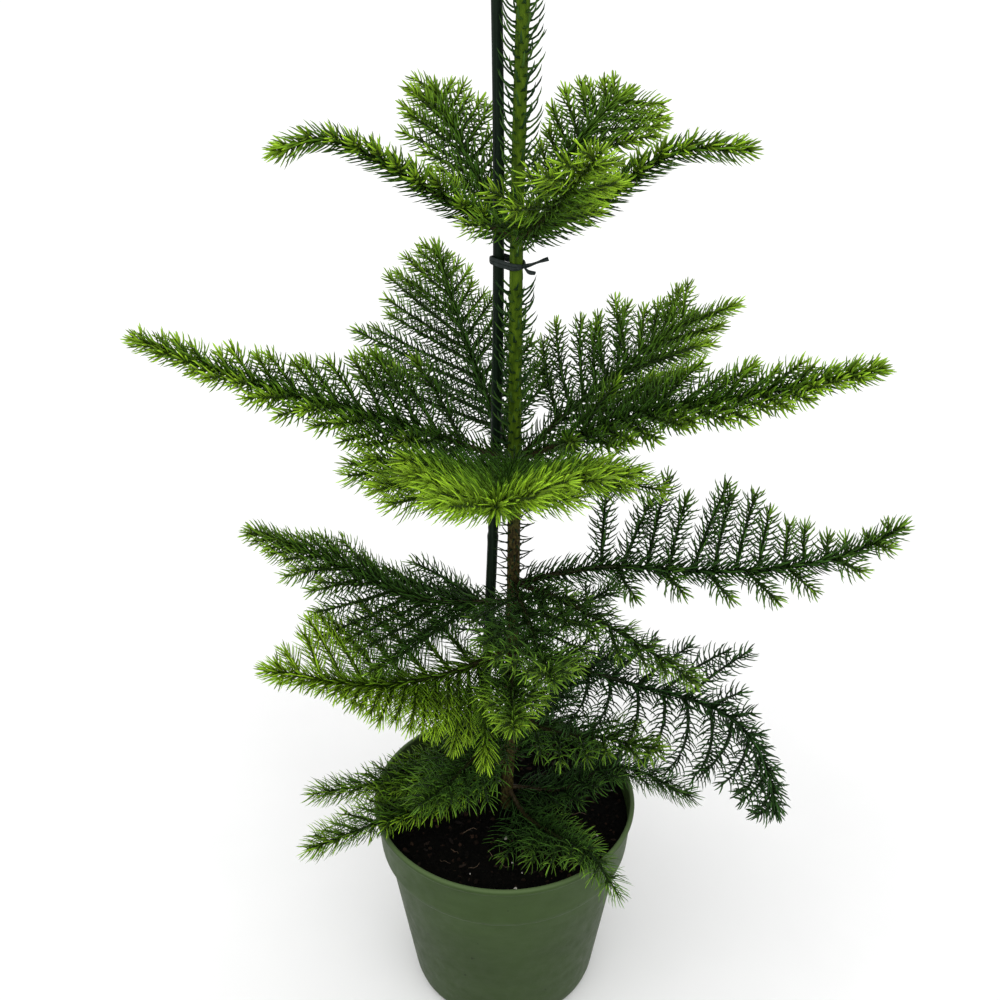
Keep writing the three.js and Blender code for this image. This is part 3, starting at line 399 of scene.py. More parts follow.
def needles(sculpt, path, across, s, phi, length, width, bends, share, bury, rng,
            flare=0.0, **facts):
    """One curved, keeled awl for each place s and angle phi. bends are its angles to the stem, one
    row a needle, and share is how far along it they come. bury is how far from the middle of the
    stem it starts, and flare is how much broader its base is."""
    count, joints = bends.shape
    centre, along, side, up = path.frames(s, across)
    out = side * np.cos(phi)[:, None] + up * np.sin(phi)[:, None]
    flank = np.cross(along, out)
    sway = rng.normal(0, NEEDLE_SWAY, (count, 1))
    spine = [centre + out * bury]
    rings = []
    for k in range(joints):
        angle = bends[:, k][:, None]
        heading = unit(along * np.cos(angle) + out * np.sin(angle) + flank * sway)
        keel = np.cross(heading, flank)
        wide = (width * (1.0 - NEEDLE_TAPER * share[k] ** 2 + (flare if k == 0 else 0)))[:, None]
        at = spine[-1]
        rings.append(np.stack([at - flank * wide / 2, at + flank * wide / 2,
                               at + keel * wide * NEEDLE_KEEL], 1))
        spine.append(at + heading * (length * (share[k + 1] - share[k]))[:, None])
    points = np.concatenate([*rings, spine[-1][:, None]], 1)
    one = grid_faces(joints, 3) + [(0, 2, 1)]
    last = (joints - 1) * 3
    one += [(last, last + 1, last + 3), (last + 1, last + 2, last + 3), (last + 2, last, last + 3)]
    per = 3 * joints + 1
    faces = np.asarray(one)[None] + (np.arange(count) * per)[:, None, None]
    reach = np.concatenate([np.repeat(np.arange(joints) / joints, 3), [1.0]])
    spread = {name: np.repeat(np.broadcast_to(value, count), per) for name, value in facts.items()}
    sculpt.add(points.reshape(-1, 3), faces.reshape(-1, 3), leaf=1.0,
               reach=np.tile(reach, count), **spread)


def leafy(sculpt, path, across, look, rng, start, pitch, radius, near_tip, youth, stand, hook=0.0):
    """Sets needles round a stem in a spiral, from start to its tip. stand is how many degrees more
    they lean out behind the tip, hook makes those by the trunk curl, and near_tip is the stretch
    that has new growth."""
    pitch = pitch * look["sparse"]
    s = np.arange(start, path.length, pitch)
    count = len(s)
    s = s + rng.uniform(-0.3, 0.3, count) * pitch
    phi = np.arange(count) * GOLDEN + rng.uniform(0, 6.28) + rng.normal(0, 0.12, count)
    left = path.length - s
    tight = np.clip(left / TIP_STRETCH, 0, 1)
    length = look["needle"] * (0.62 + 0.38 * tight) * rng.uniform(0.86, 1.1, count)
    inner = hook * np.clip(1 - s / CURL_REACH, 0, 1)
    length = length * (1 + 0.22 * inner)
    width = look["width"] * (0.85 + 0.3 * rng.random(count)) + 0.1 * inner
    brush = BRUSH * look["youth"] ** 2
    stand = stand * (1 - 0.45 * look["youth"] ** 3)
    lean = TIP_LEAN - HOOKED_LESS * (1 - look["youth"])
    first = ROOT_ANGLE - brush + stand * tight + CURL * inner + rng.normal(0, ANGLE_NOISE, count)
    final = TIP_ANGLE - brush / 2 + lean * tight + rng.normal(0, ANGLE_NOISE, count)
    steps = np.linspace(0, 1, len(NEEDLE_JOINTS) - 1)[None]
    bends = np.radians(first[:, None] * (1 - steps) + final[:, None] * steps)
    young = np.clip(youth + look["youth"] * np.exp(-left / near_tip), 0, 1)
    young = np.clip(young + rng.normal(0, 0.05, count), 0, 1)
    needles(sculpt, path, across, s, phi, length, width, bends, NEEDLE_JOINTS, radius * 0.6, rng,
            young=young, blue=look["blue"], vary=rng.random(count))


def length_share(branch, t, row):
    """How long a twig of a row is against the longest, at a share t of the branch."""
    full, near = branch["full"], branch["near"]
    if t < full:
        return near + (1 - near) * t / full
    fall = 1 - branch["end"][row]
    return 1 - fall * ((t - full) / (1 - full)) ** branch["power"][row]


def trunk_at(z):
    """The stem leans a little, and sways once."""
    height = z - SOIL_TOP
    sway = TRUNK_SWAY * math.sin(2 * math.pi * height / TRUNK_SWAY_LENGTH)
    return np.array([TRUNK_OFFSET + TRUNK_LEAN * height + sway, 0.0, float(z)])


def spray(name, height, branch):
    """One primary branch with its two rows of twigs."""
    rng = np.random.default_rng(sum(ord(c) * 31**k for k, c in enumerate(name)) % 2**31)
    sculpt = Sculpt()
    azimuth = math.radians(branch["azimuth"])
    outward = np.array([math.cos(azimuth), math.sin(azimuth), 0.0])
    root = trunk_at(POT_HEIGHT + height + branch["above"])
    corners = [root + outward * reach + np.array([0, 0, rise])
               for reach, rise in [(1.0, 0), *branch["path"]]]
    rachis = Path.through(corners)
    level = np.array([-outward[1], outward[0], 0.0])
    across = turned(level, outward, branch["roll"])
    places = np.linspace(0, rachis.length, RACHIS_RINGS)
    radii = np.linspace(*RACHIS_RADII, RACHIS_RINGS)[:, None]
    brown = 1 - np.clip(places / BROWN_REACH, 0, 1)
    tube(sculpt, rachis, across, places, radii, RACHIS_SIDES,
         young=0.35 * branch["youth"], blue=branch["blue"], reach=brown)
    leafy(sculpt, rachis, across, branch, rng, start=4, pitch=0.34, radius=1.2, near_tip=28,
          youth=branch["fresh"] * branch["youth"], stand=20, hook=1.0)
    first = branch.get("first", max(14, rachis.length * 0.12))
    for row in (0, 1):
        step = branch["step"] * branch["spacing"][row]
        s = first + rng.uniform(0, 0.5) * step
        while s < rachis.length - LAST_TWIG:
            twig(sculpt, rachis, level, s, row, branch, rng)
            s += step * rng.uniform(0.86, 1.14)
    return sculpt


def twig(sculpt, rachis, level, s, row, branch, rng):
    """One side twig, which bends a little towards the branch's tip and sags at its own."""
    share = s / rachis.length
    hand = 1 - 2 * row
    base = rachis.at(s)
    along = rachis.along(s)
    sideways = turned(level, along, branch["roll"])
    normal = np.cross(along, sideways)
    wide, narrow = branch["angle"][2 * row:2 * row + 2]
    angle = math.radians(wide + (narrow - wide) * share + rng.normal(0, 4))
    lift = math.radians(branch["lift"] + rng.normal(0, 5))
    longest = branch["twig"] * branch["rows"][row]
    reach = longest * length_share(branch, share, row) * rng.uniform(branch["least"], 1.08)
    reach = max(SHORTEST_TWIG, reach - NEEDLE_REACH)
    direction = (along * math.cos(angle) + sideways * hand * math.sin(angle)) * math.cos(lift)
    direction = direction + normal * math.sin(lift)
    sag = 0.04 * reach
    middle = base + direction * reach / 2
    tip = base + direction * reach * 0.92 + along * reach * branch["sweep"][row]
    tip = tip + np.array([0, 0, -sag + rng.normal(0, 0.02) * reach])
    path = Path.bent(base, middle, tip)
    rings = max(3, int(path.length / TWIG_RING_STEP))
    places = np.linspace(0, path.length, rings)
    radii = np.linspace(*TWIG_RADII, rings)[:, None]
    across = sideways + 0.3 * along
    youth = branch["youth"] * (branch["even"] + 0.50 * share)
    tube(sculpt, path, across, places, radii, TWIG_SIDES, young=youth + 0.1, blue=branch["blue"])
    leafy(sculpt, path, across, branch, rng, start=1.5, pitch=0.50, radius=0.8,
          near_tip=4 + 12 * branch["youth"], youth=youth, stand=36)


# Materials

def material(name, build):
    """A node material: build gets its tree and the shader, and wires the rest."""
    made = bpy.data.materials.new(name)
    made.use_nodes = True
    tree = made.node_tree
    build(tree, tree.nodes["Principled BSDF"])
    return made


def node(tree, kind, **settings):
    """A shader node. in_NAME sets its input of that name, and the rest are its own settings."""
    made = tree.nodes.new(kind)
    for key, value in settings.items():
        if key.startswith("in_"):
            made.inputs[key[3:].replace("_", " ")].default_value = value
        else:
            setattr(made, key, value)
    return made


def ramp(tree, stops, factor):
    """A colour ramp with the given (place, colour) stops."""
    made = tree.nodes.new("ShaderNodeValToRGB")
    elements = made.color_ramp.elements
    while len(elements) < len(stops):
        elements.new(0.5)
    for element, (place, colour) in zip(elements, stops):
        element.position = place
        element.color = (*colour, 1)
    tree.links.new(factor, made.inputs["Fac"])
    return made.outputs["Color"]


def mixed(tree, mode, factor, first, second):
    """Two colours mixed. factor, first and second are sockets or values."""
    made = tree.nodes.new("ShaderNodeMix")
    made.data_type = "RGBA"
    made.blend_type = mode
    for index, value in ((0, factor), (6, first), (7, second)):
        if isinstance(value, bpy.types.NodeSocket):
            tree.links.new(value, made.inputs[index])
        elif index == 0:
            made.inputs[index].default_value = value
        else:
            made.inputs[index].default_value = (*value, 1)
    return made.outputs[2]


def noise(tree, scale, detail=4, rough=0.6, stretch=None):
    """Noise in the object's own space, in metres, stretched if asked."""
    place = tree.nodes.new("ShaderNodeTexCoord").outputs["Object"]
    if stretch:
        mapping = node(tree, "ShaderNodeMapping", in_Scale=stretch)
        tree.links.new(place, mapping.inputs["Vector"])
        place = mapping.outputs["Vector"]
    made = node(tree, "ShaderNodeTexNoise", in_Scale=scale, in_Detail=detail, in_Roughness=rough)
    tree.links.new(place, made.inputs["Vector"])
    return made.outputs["Fac"]


def fact(tree, name):
    return node(tree, "ShaderNodeAttribute", attribute_name=name).outputs["Fac"]


def bump(tree, shader, height, strength, distance):
    made = node(tree, "ShaderNodeBump", in_Strength=strength, in_Distance=distance)
    tree.links.new(height, made.inputs["Height"])
    tree.links.new(made.outputs["Normal"], shader.inputs["Normal"])


def surface(tree, shader, colour, rough, specular=0.5):
    """Sets the shader's colour, roughness and specular level. rough is a socket or a value."""
    tree.links.new(colour, shader.inputs["Base Color"])
    if isinstance(rough, bpy.types.NodeSocket):
        tree.links.new(rough, shader.inputs["Roughness"])
    else:
        shader.inputs["Roughness"].default_value = rough
    shader.inputs["Specular IOR Level"].default_value = specular


def grey(value):
    return (value, value, value)


def needle_look(tree, shader):
    young = ramp(tree, [(0.0, (0.029, 0.086, 0.011)), (0.30, (0.050, 0.134, 0.009)),
                        (0.62, (0.122, 0.256, 0.012)), (1.0, (0.272, 0.462, 0.022))],
                 fact(tree, "young"))
    cool = ramp(tree, [(0.0, (0.029, 0.086, 0.027)), (0.5, (0.056, 0.144, 0.030)),
                       (1.0, (0.120, 0.250, 0.036))], fact(tree, "young"))
    green = mixed(tree, "MIX", fact(tree, "blue"), young, cool)
    light = ramp(tree, [(0.0, grey(0.38)), (0.5, grey(0.90)), (1.0, grey(1.42))], fact(tree, "vary"))
    green = mixed(tree, "MULTIPLY", 1.0, green, light)
    stem = mixed(tree, "MULTIPLY", 1.0, green, (0.50, 0.48, 0.50))
    bark = mixed(tree, "MIX", fact(tree, "reach"), stem, (0.034, 0.024, 0.010))
    # Painted shade darkens each needle towards its root on the stem. On young needles the pale, yellower
    # tips are partly painted light and partly the colour of new growth.
    dark_tip = ramp(tree, [(0.0, grey(0.46)), (0.7, grey(0.72)),
                           (1.0, (0.80, 0.80, 0.76))], fact(tree, "reach"))
    pale_tip = ramp(tree, [(0.0, grey(0.64)), (0.7, (1.14, 1.14, 1.10)),
                           (1.0, (1.55, 1.50, 1.25))], fact(tree, "reach"))
    painted_needle_shade = mixed(tree, "MIX", fact(tree, "young"), dark_tip, pale_tip)
    green = mixed(tree, "MULTIPLY", 1.0, green, painted_needle_shade)
    rough = ramp(tree, [(0.3, grey(0.36)), (0.7, grey(0.55))], noise(tree, 900))
    surface(tree, shader, mixed(tree, "MIX", fact(tree, "leaf"), bark, green), rough, 0.12)
    bump(tree, shader, noise(tree, 2500, 2), 0.25, 0.0002)


def pot_look(tree, shader):
    streak = noise(tree, 40, 4, 0.6, (1, 1, 3))
    base = ramp(tree, [(0.35, (0.032, 0.057, 0.015)), (0.65, (0.037, 0.065, 0.018))], streak)
    blotch = noise(tree, 22, 5)
    base = mixed(tree, "MULTIPLY", 0.25, base,
                 ramp(tree, [(0.4, grey(0.8)), (0.6, grey(1.15))], blotch))
    speck = ramp(tree, [(0.73, grey(1)), (0.76, (0.25, 0.22, 0.18))], noise(tree, 260, 2, 0.5))
    base = mixed(tree, "MULTIPLY", 0.8, base, speck)
    height = tree.nodes.new("ShaderNodeSeparateXYZ")
    tree.links.new(tree.nodes.new("ShaderNodeTexCoord").outputs["Object"], height.inputs[0])
    # Painted shade: the pot grows darker from partway down the collar towards its foot.
    body = node(tree, "ShaderNodeMapRange", in_From_Min=BODY_SHADE_FADE[0], in_From_Max=BODY_SHADE_FADE[1])
    tree.links.new(height.outputs["Z"], body.inputs["Value"])
    base = mixed(tree, "MULTIPLY", body.outputs["Result"], base, (0.80, 0.80, 0.78))
    # Painted highlight: a lighter green across the top of the rolled lip.
    lip = node(tree, "ShaderNodeMapRange", in_From_Min=LIP_HIGHLIGHT_FADE[0], in_From_Max=LIP_HIGHLIGHT_FADE[1])
    tree.links.new(height.outputs["Z"], lip.inputs["Value"])
    base = mixed(tree, "MIX", lip.outputs["Result"], base, (0.085, 0.130, 0.050))
    rough = ramp(tree, [(0.3, grey(0.42)), (0.7, grey(0.56))], noise(tree, 140))
    surface(tree, shader, base, rough, 0.10)
    bump(tree, shader, noise(tree, 800, 3, 0.6, (1, 1, 3)), 0.15, 0.0003)


def soil_look(tree, shader):
    grain = noise(tree, 420, 6, 0.7)
    base = ramp(tree, [(0.35, (0.0012, 0.0013, 0.0010)), (0.58, (0.003, 0.0027, 0.002)),
                       (0.80, (0.012, 0.007, 0.005))], grain)
    surface(tree, shader, base, 0.9, 0.05)
    bump(tree, shader, noise(tree, 700, 6, 0.75), 0.9, 0.001)


def crumb_look(tree, shader):
    base = ramp(tree, [(0.0, (0.0012, 0.0013, 0.0010)), (0.7, (0.004, 0.0033, 0.0025)),
                       (1.0, (0.030, 0.017, 0.011))], fact(tree, "vary"))
    base = mixed(tree, "MULTIPLY", 0.7, base, ramp(
        tree, [(0.3, grey(0.3)), (0.7, grey(1.8))], noise(tree, 900, 5, 0.7)))
    surface(tree, shader, base, 0.85, 0.06)
    bump(tree, shader, noise(tree, 1300, 5, 0.7), 0.8, 0.0006)


def chip_look(tree, shader):
    base = ramp(tree, [(0.0, (0.004, 0.003, 0.002)), (0.7, (0.010, 0.006, 0.004)),
                       (1.0, (0.034, 0.021, 0.013))], fact(tree, "vary"))
    base = mixed(tree, "MULTIPLY", 0.8, base, ramp(
        tree, [(0.3, grey(0.5)), (0.7, grey(1.3))], noise(tree, 700, 5, 0.7)))
    surface(tree, shader, base, 0.8, 0.15)
    bump(tree, shader, noise(tree, 1000, 5, 0.7, (1, 4, 1)), 0.7, 0.0005)


def fibre_look(tree, shader):
    base = ramp(tree, [(0.0, (0.05, 0.028, 0.015)), (1.0, (0.22, 0.15, 0.09))], fact(tree, "vary"))
    surface(tree, shader, base, 0.7)
    bump(tree, shader, noise(tree, 2000, 3), 0.4, 0.0002)


def perlite_look(tree, shader):
    base = ramp(tree, [(0.3, (0.36, 0.33, 0.28)), (0.7, (0.66, 0.64, 0.58))], noise(tree, 900, 5))
    surface(tree, shader, base, 0.85)
    bump(tree, shader, noise(tree, 1500, 5, 0.7), 0.6, 0.0004)


def cane_look(tree, shader):
    grain = noise(tree, 700, 5, 0.65, (1, 1, 0.02))
    base = ramp(tree, [(0.35, (0.002, 0.006, 0.003)), (0.58, (0.007, 0.016, 0.008)),
                       (0.76, (0.040, 0.062, 0.036))], grain)
    rough = ramp(tree, [(0.3, grey(0.38)), (0.7, grey(0.6))], noise(tree, 300))
    surface(tree, shader, base, rough, 0.08)
    bump(tree, shader, grain, 0.4, 0.0004)


def tie_look(tree, shader):
    base = ramp(tree, [(0.3, (0.006, 0.011, 0.010)), (0.7, (0.022, 0.033, 0.030))],
                noise(tree, 500, 4))
    surface(tree, shader, base, 0.5, 0.2)
    bump(tree, shader, noise(tree, 900, 3), 0.25, 0.0002)


def stem_look(tree, shader):
    """The trunk: brown bark low down, olive above, streaked along its leaf bases."""
    grain = noise(tree, 420, 5, 0.65, (1, 1, 0.22))
    green = ramp(tree, [(0.32, (0.018, 0.038, 0.002)), (0.50, (0.050, 0.098, 0.004)),
                        (0.72, (0.100, 0.170, 0.008))], grain)
    mottle = noise(tree, 900, 4, 0.6, (1, 1, 0.6))
    brown = ramp(tree, [(0.34, (0.006, 0.005, 0.002)), (0.50, (0.032, 0.024, 0.008)),
                        (0.62, (0.062, 0.054, 0.014)), (0.75, (0.130, 0.095, 0.035))], mottle)
    trunk = mixed(tree, "MIX", fact(tree, "young"), brown, green)
    leaf = ramp(tree, [(0.0, (0.012, 0.034, 0.010)), (0.5, (0.026, 0.068, 0.014)),
                       (1.0, (0.060, 0.130, 0.018))], fact(tree, "vary"))
    old = mixed(tree, "MULTIPLY", 1.0, leaf, (0.42, 0.40, 0.60))
    leaf = mixed(tree, "MIX", fact(tree, "young"), old, leaf)
    surface(tree, shader, mixed(tree, "MIX", fact(tree, "leaf"), trunk, leaf), 0.65, 0.08)
    bump(tree, shader, grain, 0.6, 0.0006)


# Pieces

def finished(piece, slot, *nodes):
    """The piece rides with the root body and stands for its nodes, which are hidden. slot is not used."""
    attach(piece, "root")
    if nodes:
        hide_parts(*nodes)


def lathe(profile, sides):
    """Points and triangles of a closed profile of (radius, height), turned about Z."""
    profile = np.asarray(profile, float)
    phi = round_angles(sides)
    ring = np.stack([np.cos(phi), np.sin(phi)], -1)
    points = np.concatenate([
        profile[:, None, :1] * ring[None],
        np.broadcast_to(profile[:, None, 1:], (len(profile), sides, 1)),
    ], -1)
    return points.reshape(-1, 3), [face[::-1] for face in grid_faces(len(profile), sides)]


def rounded(corners, steps=5):
    """Profile corners given as (radius, height, rounding), with each rounding made smooth."""
    out = []
    for k, (r, z, size) in enumerate(corners):
        here = np.array([r, z], float)
        if not size:
            out.append(here)
            continue
        back = here + unit(np.array(corners[k - 1][:2], float) - here) * size
        on = here + unit(np.array(corners[(k + 1) % len(corners)][:2], float) - here) * size
        for t in np.linspace(0, 1, steps):
            out.append(back * (1 - t) ** 2 + here * 2 * t * (1 - t) + on * t**2)
    return out


def pot():
    """The pot: rolled lip, flared collar, step, tapered body, rounded foot, and drilled floor."""
    profile = rounded([
        (0.001, 0.0, 0), (53.2, 0.0, 9), (67.9, 98.5, 1.0), (71.3, 102.2, 1.2),
        (71.8, 105.0, 0.8), (73.6, 126.6, 0.8), (75.0, 127.8, 1.0), (75.1, 130.8, 1.4),
        (72.6, 131.0, 1.0), (72.0, 128.0, 1.0), (69.9, 104.5, 1.5), (66.6, 98.0, 1.5),
        (51.6, POT_WALL, 8), (0.001, POT_WALL, 0),
    ])
    sculpt = Sculpt()
    points, faces = lathe(profile, POT_SIDES)
    sculpt.add(points, faces)
    made = sculpt.made("pot_shell", material("pot_plastic", pot_look), facts=())
    weld = made.modifiers.new("weld", "WELD")
    weld.merge_threshold = POT_WELD
    low, high = HOLE_REACH
    drill_profile = [(0.001, low), (HOLE_RADIUS, low), (HOLE_RADIUS, high), (0.001, high)]
    for n in range(HOLES):
        angle = 2 * math.pi * (n + 0.5) / HOLES
        drill = Sculpt()
        hole, sides = lathe(drill_profile, HOLE_SIDES)
        place = np.array([HOLE_CIRCLE * math.cos(angle), HOLE_CIRCLE * math.sin(angle), 0])
        drill.add(hole + place, sides)
        cutter = drill.made(f"drill_{n}", made.data.materials[0], facts=())
        cut = made.modifiers.new(f"hole_{n}", "BOOLEAN")
        cut.operation = "DIFFERENCE"
        cut.object = cutter
    applied(made)
    for n in range(HOLES):
        bpy.data.objects.remove(bpy.data.objects[f"drill_{n}"])
    finished(made, "pot", "pot")


def applied(made):
    """Turns the object's modifiers into its mesh."""
    graph = bpy.context.evaluated_depsgraph_get()
    mesh = bpy.data.meshes.new_from_object(made.evaluated_get(graph))
    made.modifiers.clear()
    made.data = mesh


def soil_height(x, y):
    """The crumbly top of the soil, in millimetres."""
    r = np.hypot(x, y)
    rough = (np.sin(x * 0.23 + 1.3) * np.sin(y * 0.19 + 0.4) + 0.6 * np.sin(x * 0.51 + y * 0.37)
             + 0.5 * np.sin(x * 0.93 - y * 1.1 + 2.0) + 0.35 * np.sin(x * 1.9 + y * 1.7))
    return SOIL_TOP + SOIL_MOUND * (1 - (r / SOIL_RADIUS) ** 2) + SOIL_WAVES * rough


def soil():
    """The surface of the potting mix, as one closed body down into the pot."""
    rng = np.random.default_rng(3)
    sculpt = Sculpt()
    phi = round_angles(SOIL_SIDES)
    rows = []
    for k in range(SOIL_RINGS):
        r = SOIL_RADIUS * k / (SOIL_RINGS - 1) + 0.001
        x, y = r * np.cos(phi), r * np.sin(phi)
        z = soil_height(x, y) + rng.normal(0, SOIL_GRAIN, SOIL_SIDES) * min(1, k / 6)
        rows.append(np.stack([x, y, z], -1))
    # Down along the inside of the pot, and across
    for r, z in ((70.3, SOIL_TOP - 4), (66.2, SOIL_FLOOR), (0.001, SOIL_FLOOR)):
        rows.append(np.stack([r * np.cos(phi), r * np.sin(phi), np.full(SOIL_SIDES, z)], -1))
    faces = grid_faces(len(rows), SOIL_SIDES)
    sculpt.add(np.concatenate(rows), faces)
    made = sculpt.made("soil_mix", material("potting_mix", soil_look), facts=())
    finished(made, "soil", "soil")


LUMP = [(0, 0, 1), (0.89, 0, 0.45), (0.28, 0.85, 0.45), (-0.72, 0.53, 0.45), (-0.72, -0.53, 0.45),
        (0.28, -0.85, 0.45), (0.72, 0.53, -0.45), (-0.28, 0.85, -0.45), (-0.89, 0, -0.45),
        (-0.28, -0.85, -0.45), (0.72, -0.53, -0.45), (0, 0, -1)]
LUMP_FACES = [(0, 1, 2), (0, 2, 3), (0, 3, 4), (0, 4, 5), (0, 5, 1), (1, 6, 2), (2, 7, 3),
              (3, 8, 4), (4, 9, 5), (5, 10, 1), (2, 6, 7), (3, 7, 8), (4, 8, 9), (5, 9, 10),
              (1, 10, 6), (6, 11, 7), (7, 11, 8), (8, 11, 9), (9, 11, 10), (10, 11, 6)]


def lumps(name, look, count, size, shape, sunk, seed):
    """Small rough pieces strewn over the soil."""
    rng = np.random.default_rng(seed)
    sculpt = Sculpt()
    for _ in range(count):
        r, angle = (SOIL_RADIUS - LUMP_MARGIN) * math.sqrt(rng.random()), rng.uniform(0, TURN)
        x, y = r * math.cos(angle), r * math.sin(angle)
        scale = rng.uniform(*size) * np.asarray(shape) * rng.uniform(0.7, 1.3, 3)
        points = np.asarray(LUMP) * rng.uniform(0.7, 1.2, (len(LUMP), 1)) * scale
        points = spun(points, rng)
        z = soil_height(x, y) + sunk * scale[2]
        sculpt.add(points + np.array([x, y, z]), LUMP_FACES, vary=rng.random())
    made = sculpt.made(name, material(name, look), smooth=False, facts=("vary",))
    finished(made, "soil")


def spun(points, rng):
    """The points turned about Z and tipped a little."""
    a, b = rng.uniform(0, TURN), rng.normal(0, 0.4)
    turn = np.array([[math.cos(a), -math.sin(a), 0], [math.sin(a), math.cos(a), 0], [0, 0, 1]])
    tip = np.array([[1, 0, 0], [0, math.cos(b), -math.sin(b)], [0, math.sin(b), math.cos(b)]])
    return points @ tip.T @ turn.T


def fibres():
    """Thin pale roots and straws on the soil."""
    rng = np.random.default_rng(8)
    sculpt = Sculpt()
    for _ in range(FIBRES):
        r, angle = (SOIL_RADIUS - FIBRE_MARGIN) * math.sqrt(rng.random()), rng.uniform(0, TURN)
        x, y = r * math.cos(angle), r * math.sin(angle)
        heading = rng.uniform(0, TURN)
        length = rng.uniform(4, 11)
        spots = []
        for t in np.linspace(-0.5, 0.5, 6):
            px = x + math.cos(heading) * t * length
            py = y + math.sin(heading) * t * length
            spots.append((px, py, soil_height(px, py) + 0.7 + rng.uniform(0, 0.8)))
            heading += rng.normal(0, 0.18)
        path = Path.through(spots, 4)
        tube(sculpt, path, np.array([0, 0, 1.0]), np.linspace(0, path.length, 8),
             rng.uniform(0.10, 0.18), 4, vary=rng.random())
    made = sculpt.made("soil_fibres", material("soil_fibre", fibre_look), facts=("vary",))
    finished(made, "soil")


def stake_at(z):
    x = STAKE_NEAREST - STAKE_BOW * (z - STAKE_BOW_HEIGHT) ** 2
    return np.array([x, float(STAKE_BEHIND), float(z)])


def stake():
    """The dyed cane: ribbed along its length, swollen at its nodes, and cut square on top."""
    rng = np.random.default_rng(5)
    sculpt = Sculpt()
    sides = 28
    places = np.linspace(0, 1, 240)
    path = Path([stake_at(z) for z in np.linspace(STAKE_FOOT, STAKE_TOP, 80)])
    heights = STAKE_FOOT + (STAKE_TOP - STAKE_FOOT) * places
    ribs = 1 + 0.035 * rng.normal(0, 1, sides)
    radii = np.interp(heights, [STAKE_FOOT, STAKE_TOP], STAKE_RADII)[:, None] * ribs[None]
    for height in STAKE_NODES:
        swell = np.exp(-((heights - height) / 1.3) ** 2) * 0.45
        waist = np.exp(-((heights - height - 3.2) / 1.5) ** 2) * -0.22
        radii = radii + (swell + waist)[:, None]
    radii[-1] *= 0.88
    tube(sculpt, path, np.array([1.0, 0, 0]), places * path.length, radii, sides)
    made = sculpt.made("stake_cane", material("dyed_cane", cane_look), facts=())
    finished(made, "stake", "stake")


def trunk():
    """The leafy stem, with low ridges where its needles run down it."""
    rng = np.random.default_rng(21)
    sculpt = Sculpt()
    path = Path([trunk_at(z) for z in np.linspace(TRUNK_FOOT, TRUNK_TIP, 60)])
    across = np.array([1.0, 0, 0])
    sides, rows = 26, 520
    places = np.linspace(0, path.length, rows)
    heights = TRUNK_FOOT + places
    base = np.interp(heights, [TRUNK_FOOT, TRUNK_TOP - 6, TRUNK_TIP], TRUNK_RADII)
    phi = round_angles(sides)
    twist = heights[:, None] * 0.055
    ridge = np.cos(8 * phi[None] - twist * 8) * np.cos(phi[None] * 5 + heights[:, None] * 0.9)
    ridge = 0.16 * ridge + 0.07 * rng.normal(0, 1, (rows, sides))
    radii = base[:, None] * (1 + 0.05 * ridge) + 0.18 * ridge
    greenness = np.clip((heights - BROWN_BELOW + 20) / 40, 0, 1)
    tube(sculpt, path, across, places, radii, sides, young=greenness)
    count = TRUNK_NEEDLES
    s = np.linspace(BARE_ABOVE_SOIL + SOIL_TOP - TRUNK_FOOT, path.length - 0.5, count)
    height = TRUNK_FOOT + s
    tied = (height > TIE_HEIGHT - TIE_BARE[0]) & (height < TIE_HEIGHT + TIE_BARE[1])
    phi = np.arange(count) * GOLDEN
    high = np.clip((height - BROWN_BELOW) / 40, 0, 1)
    left = path.length - s
    tight = np.clip(left / TIP_STRETCH, 0, 1)
    length = (9 + 3.8 * high) * rng.uniform(0.82, 1.12, count) * (0.7 + 0.3 * tight)
    width = 0.90 + 0.36 * high
    first = np.radians((84 - 16 * high) * (0.4 + 0.6 * tight) + rng.normal(0, 7, count))
    final = np.radians((64 - 44 * high) * (0.3 + 0.7 * tight) + rng.normal(0, 8, count))
    steps = np.linspace(0, 1, len(TRUNK_JOINTS) - 1)[None]
    bends = first[:, None] * (1 - steps) + final[:, None] * steps
    keep = ~tied & (rng.random(count) < 0.5 + 0.5 * np.clip((height - 220) / 40, 0, 1))
    needles(sculpt, path, across, s[keep], phi[keep], length[keep], width[keep], bends[keep],
            TRUNK_JOINTS, 2.4, rng, flare=0.9, vary=rng.random(keep.sum()), young=high[keep])
    made = sculpt.made("trunk_stem", material("trunk_bark", stem_look))
    finished(made, "trunk", "trunk")


def strip(sculpt, path, width, thickness, twist, rows):
    """A flat strip with rounded edges along the path, turned by twist radians at each place."""
    places = np.linspace(0, path.length, rows)
    centre, along, side, up = path.frames(places, np.array([0, 0, 1.0]))
    turn = np.broadcast_to(twist, rows)[:, None]
    flat = side * np.cos(turn) + up * np.sin(turn)
    thick = np.cross(along, flat)
    phi = round_angles(STRIP_SIDES)
    points = (centre[:, None] + flat[:, None] * (width / 2 * np.cos(phi))[None, :, None]
              + thick[:, None] * (thickness / 2 * np.sin(phi))[None, :, None])
    sculpt.add(points.reshape(-1, 3), tube_faces(rows, STRIP_SIDES))


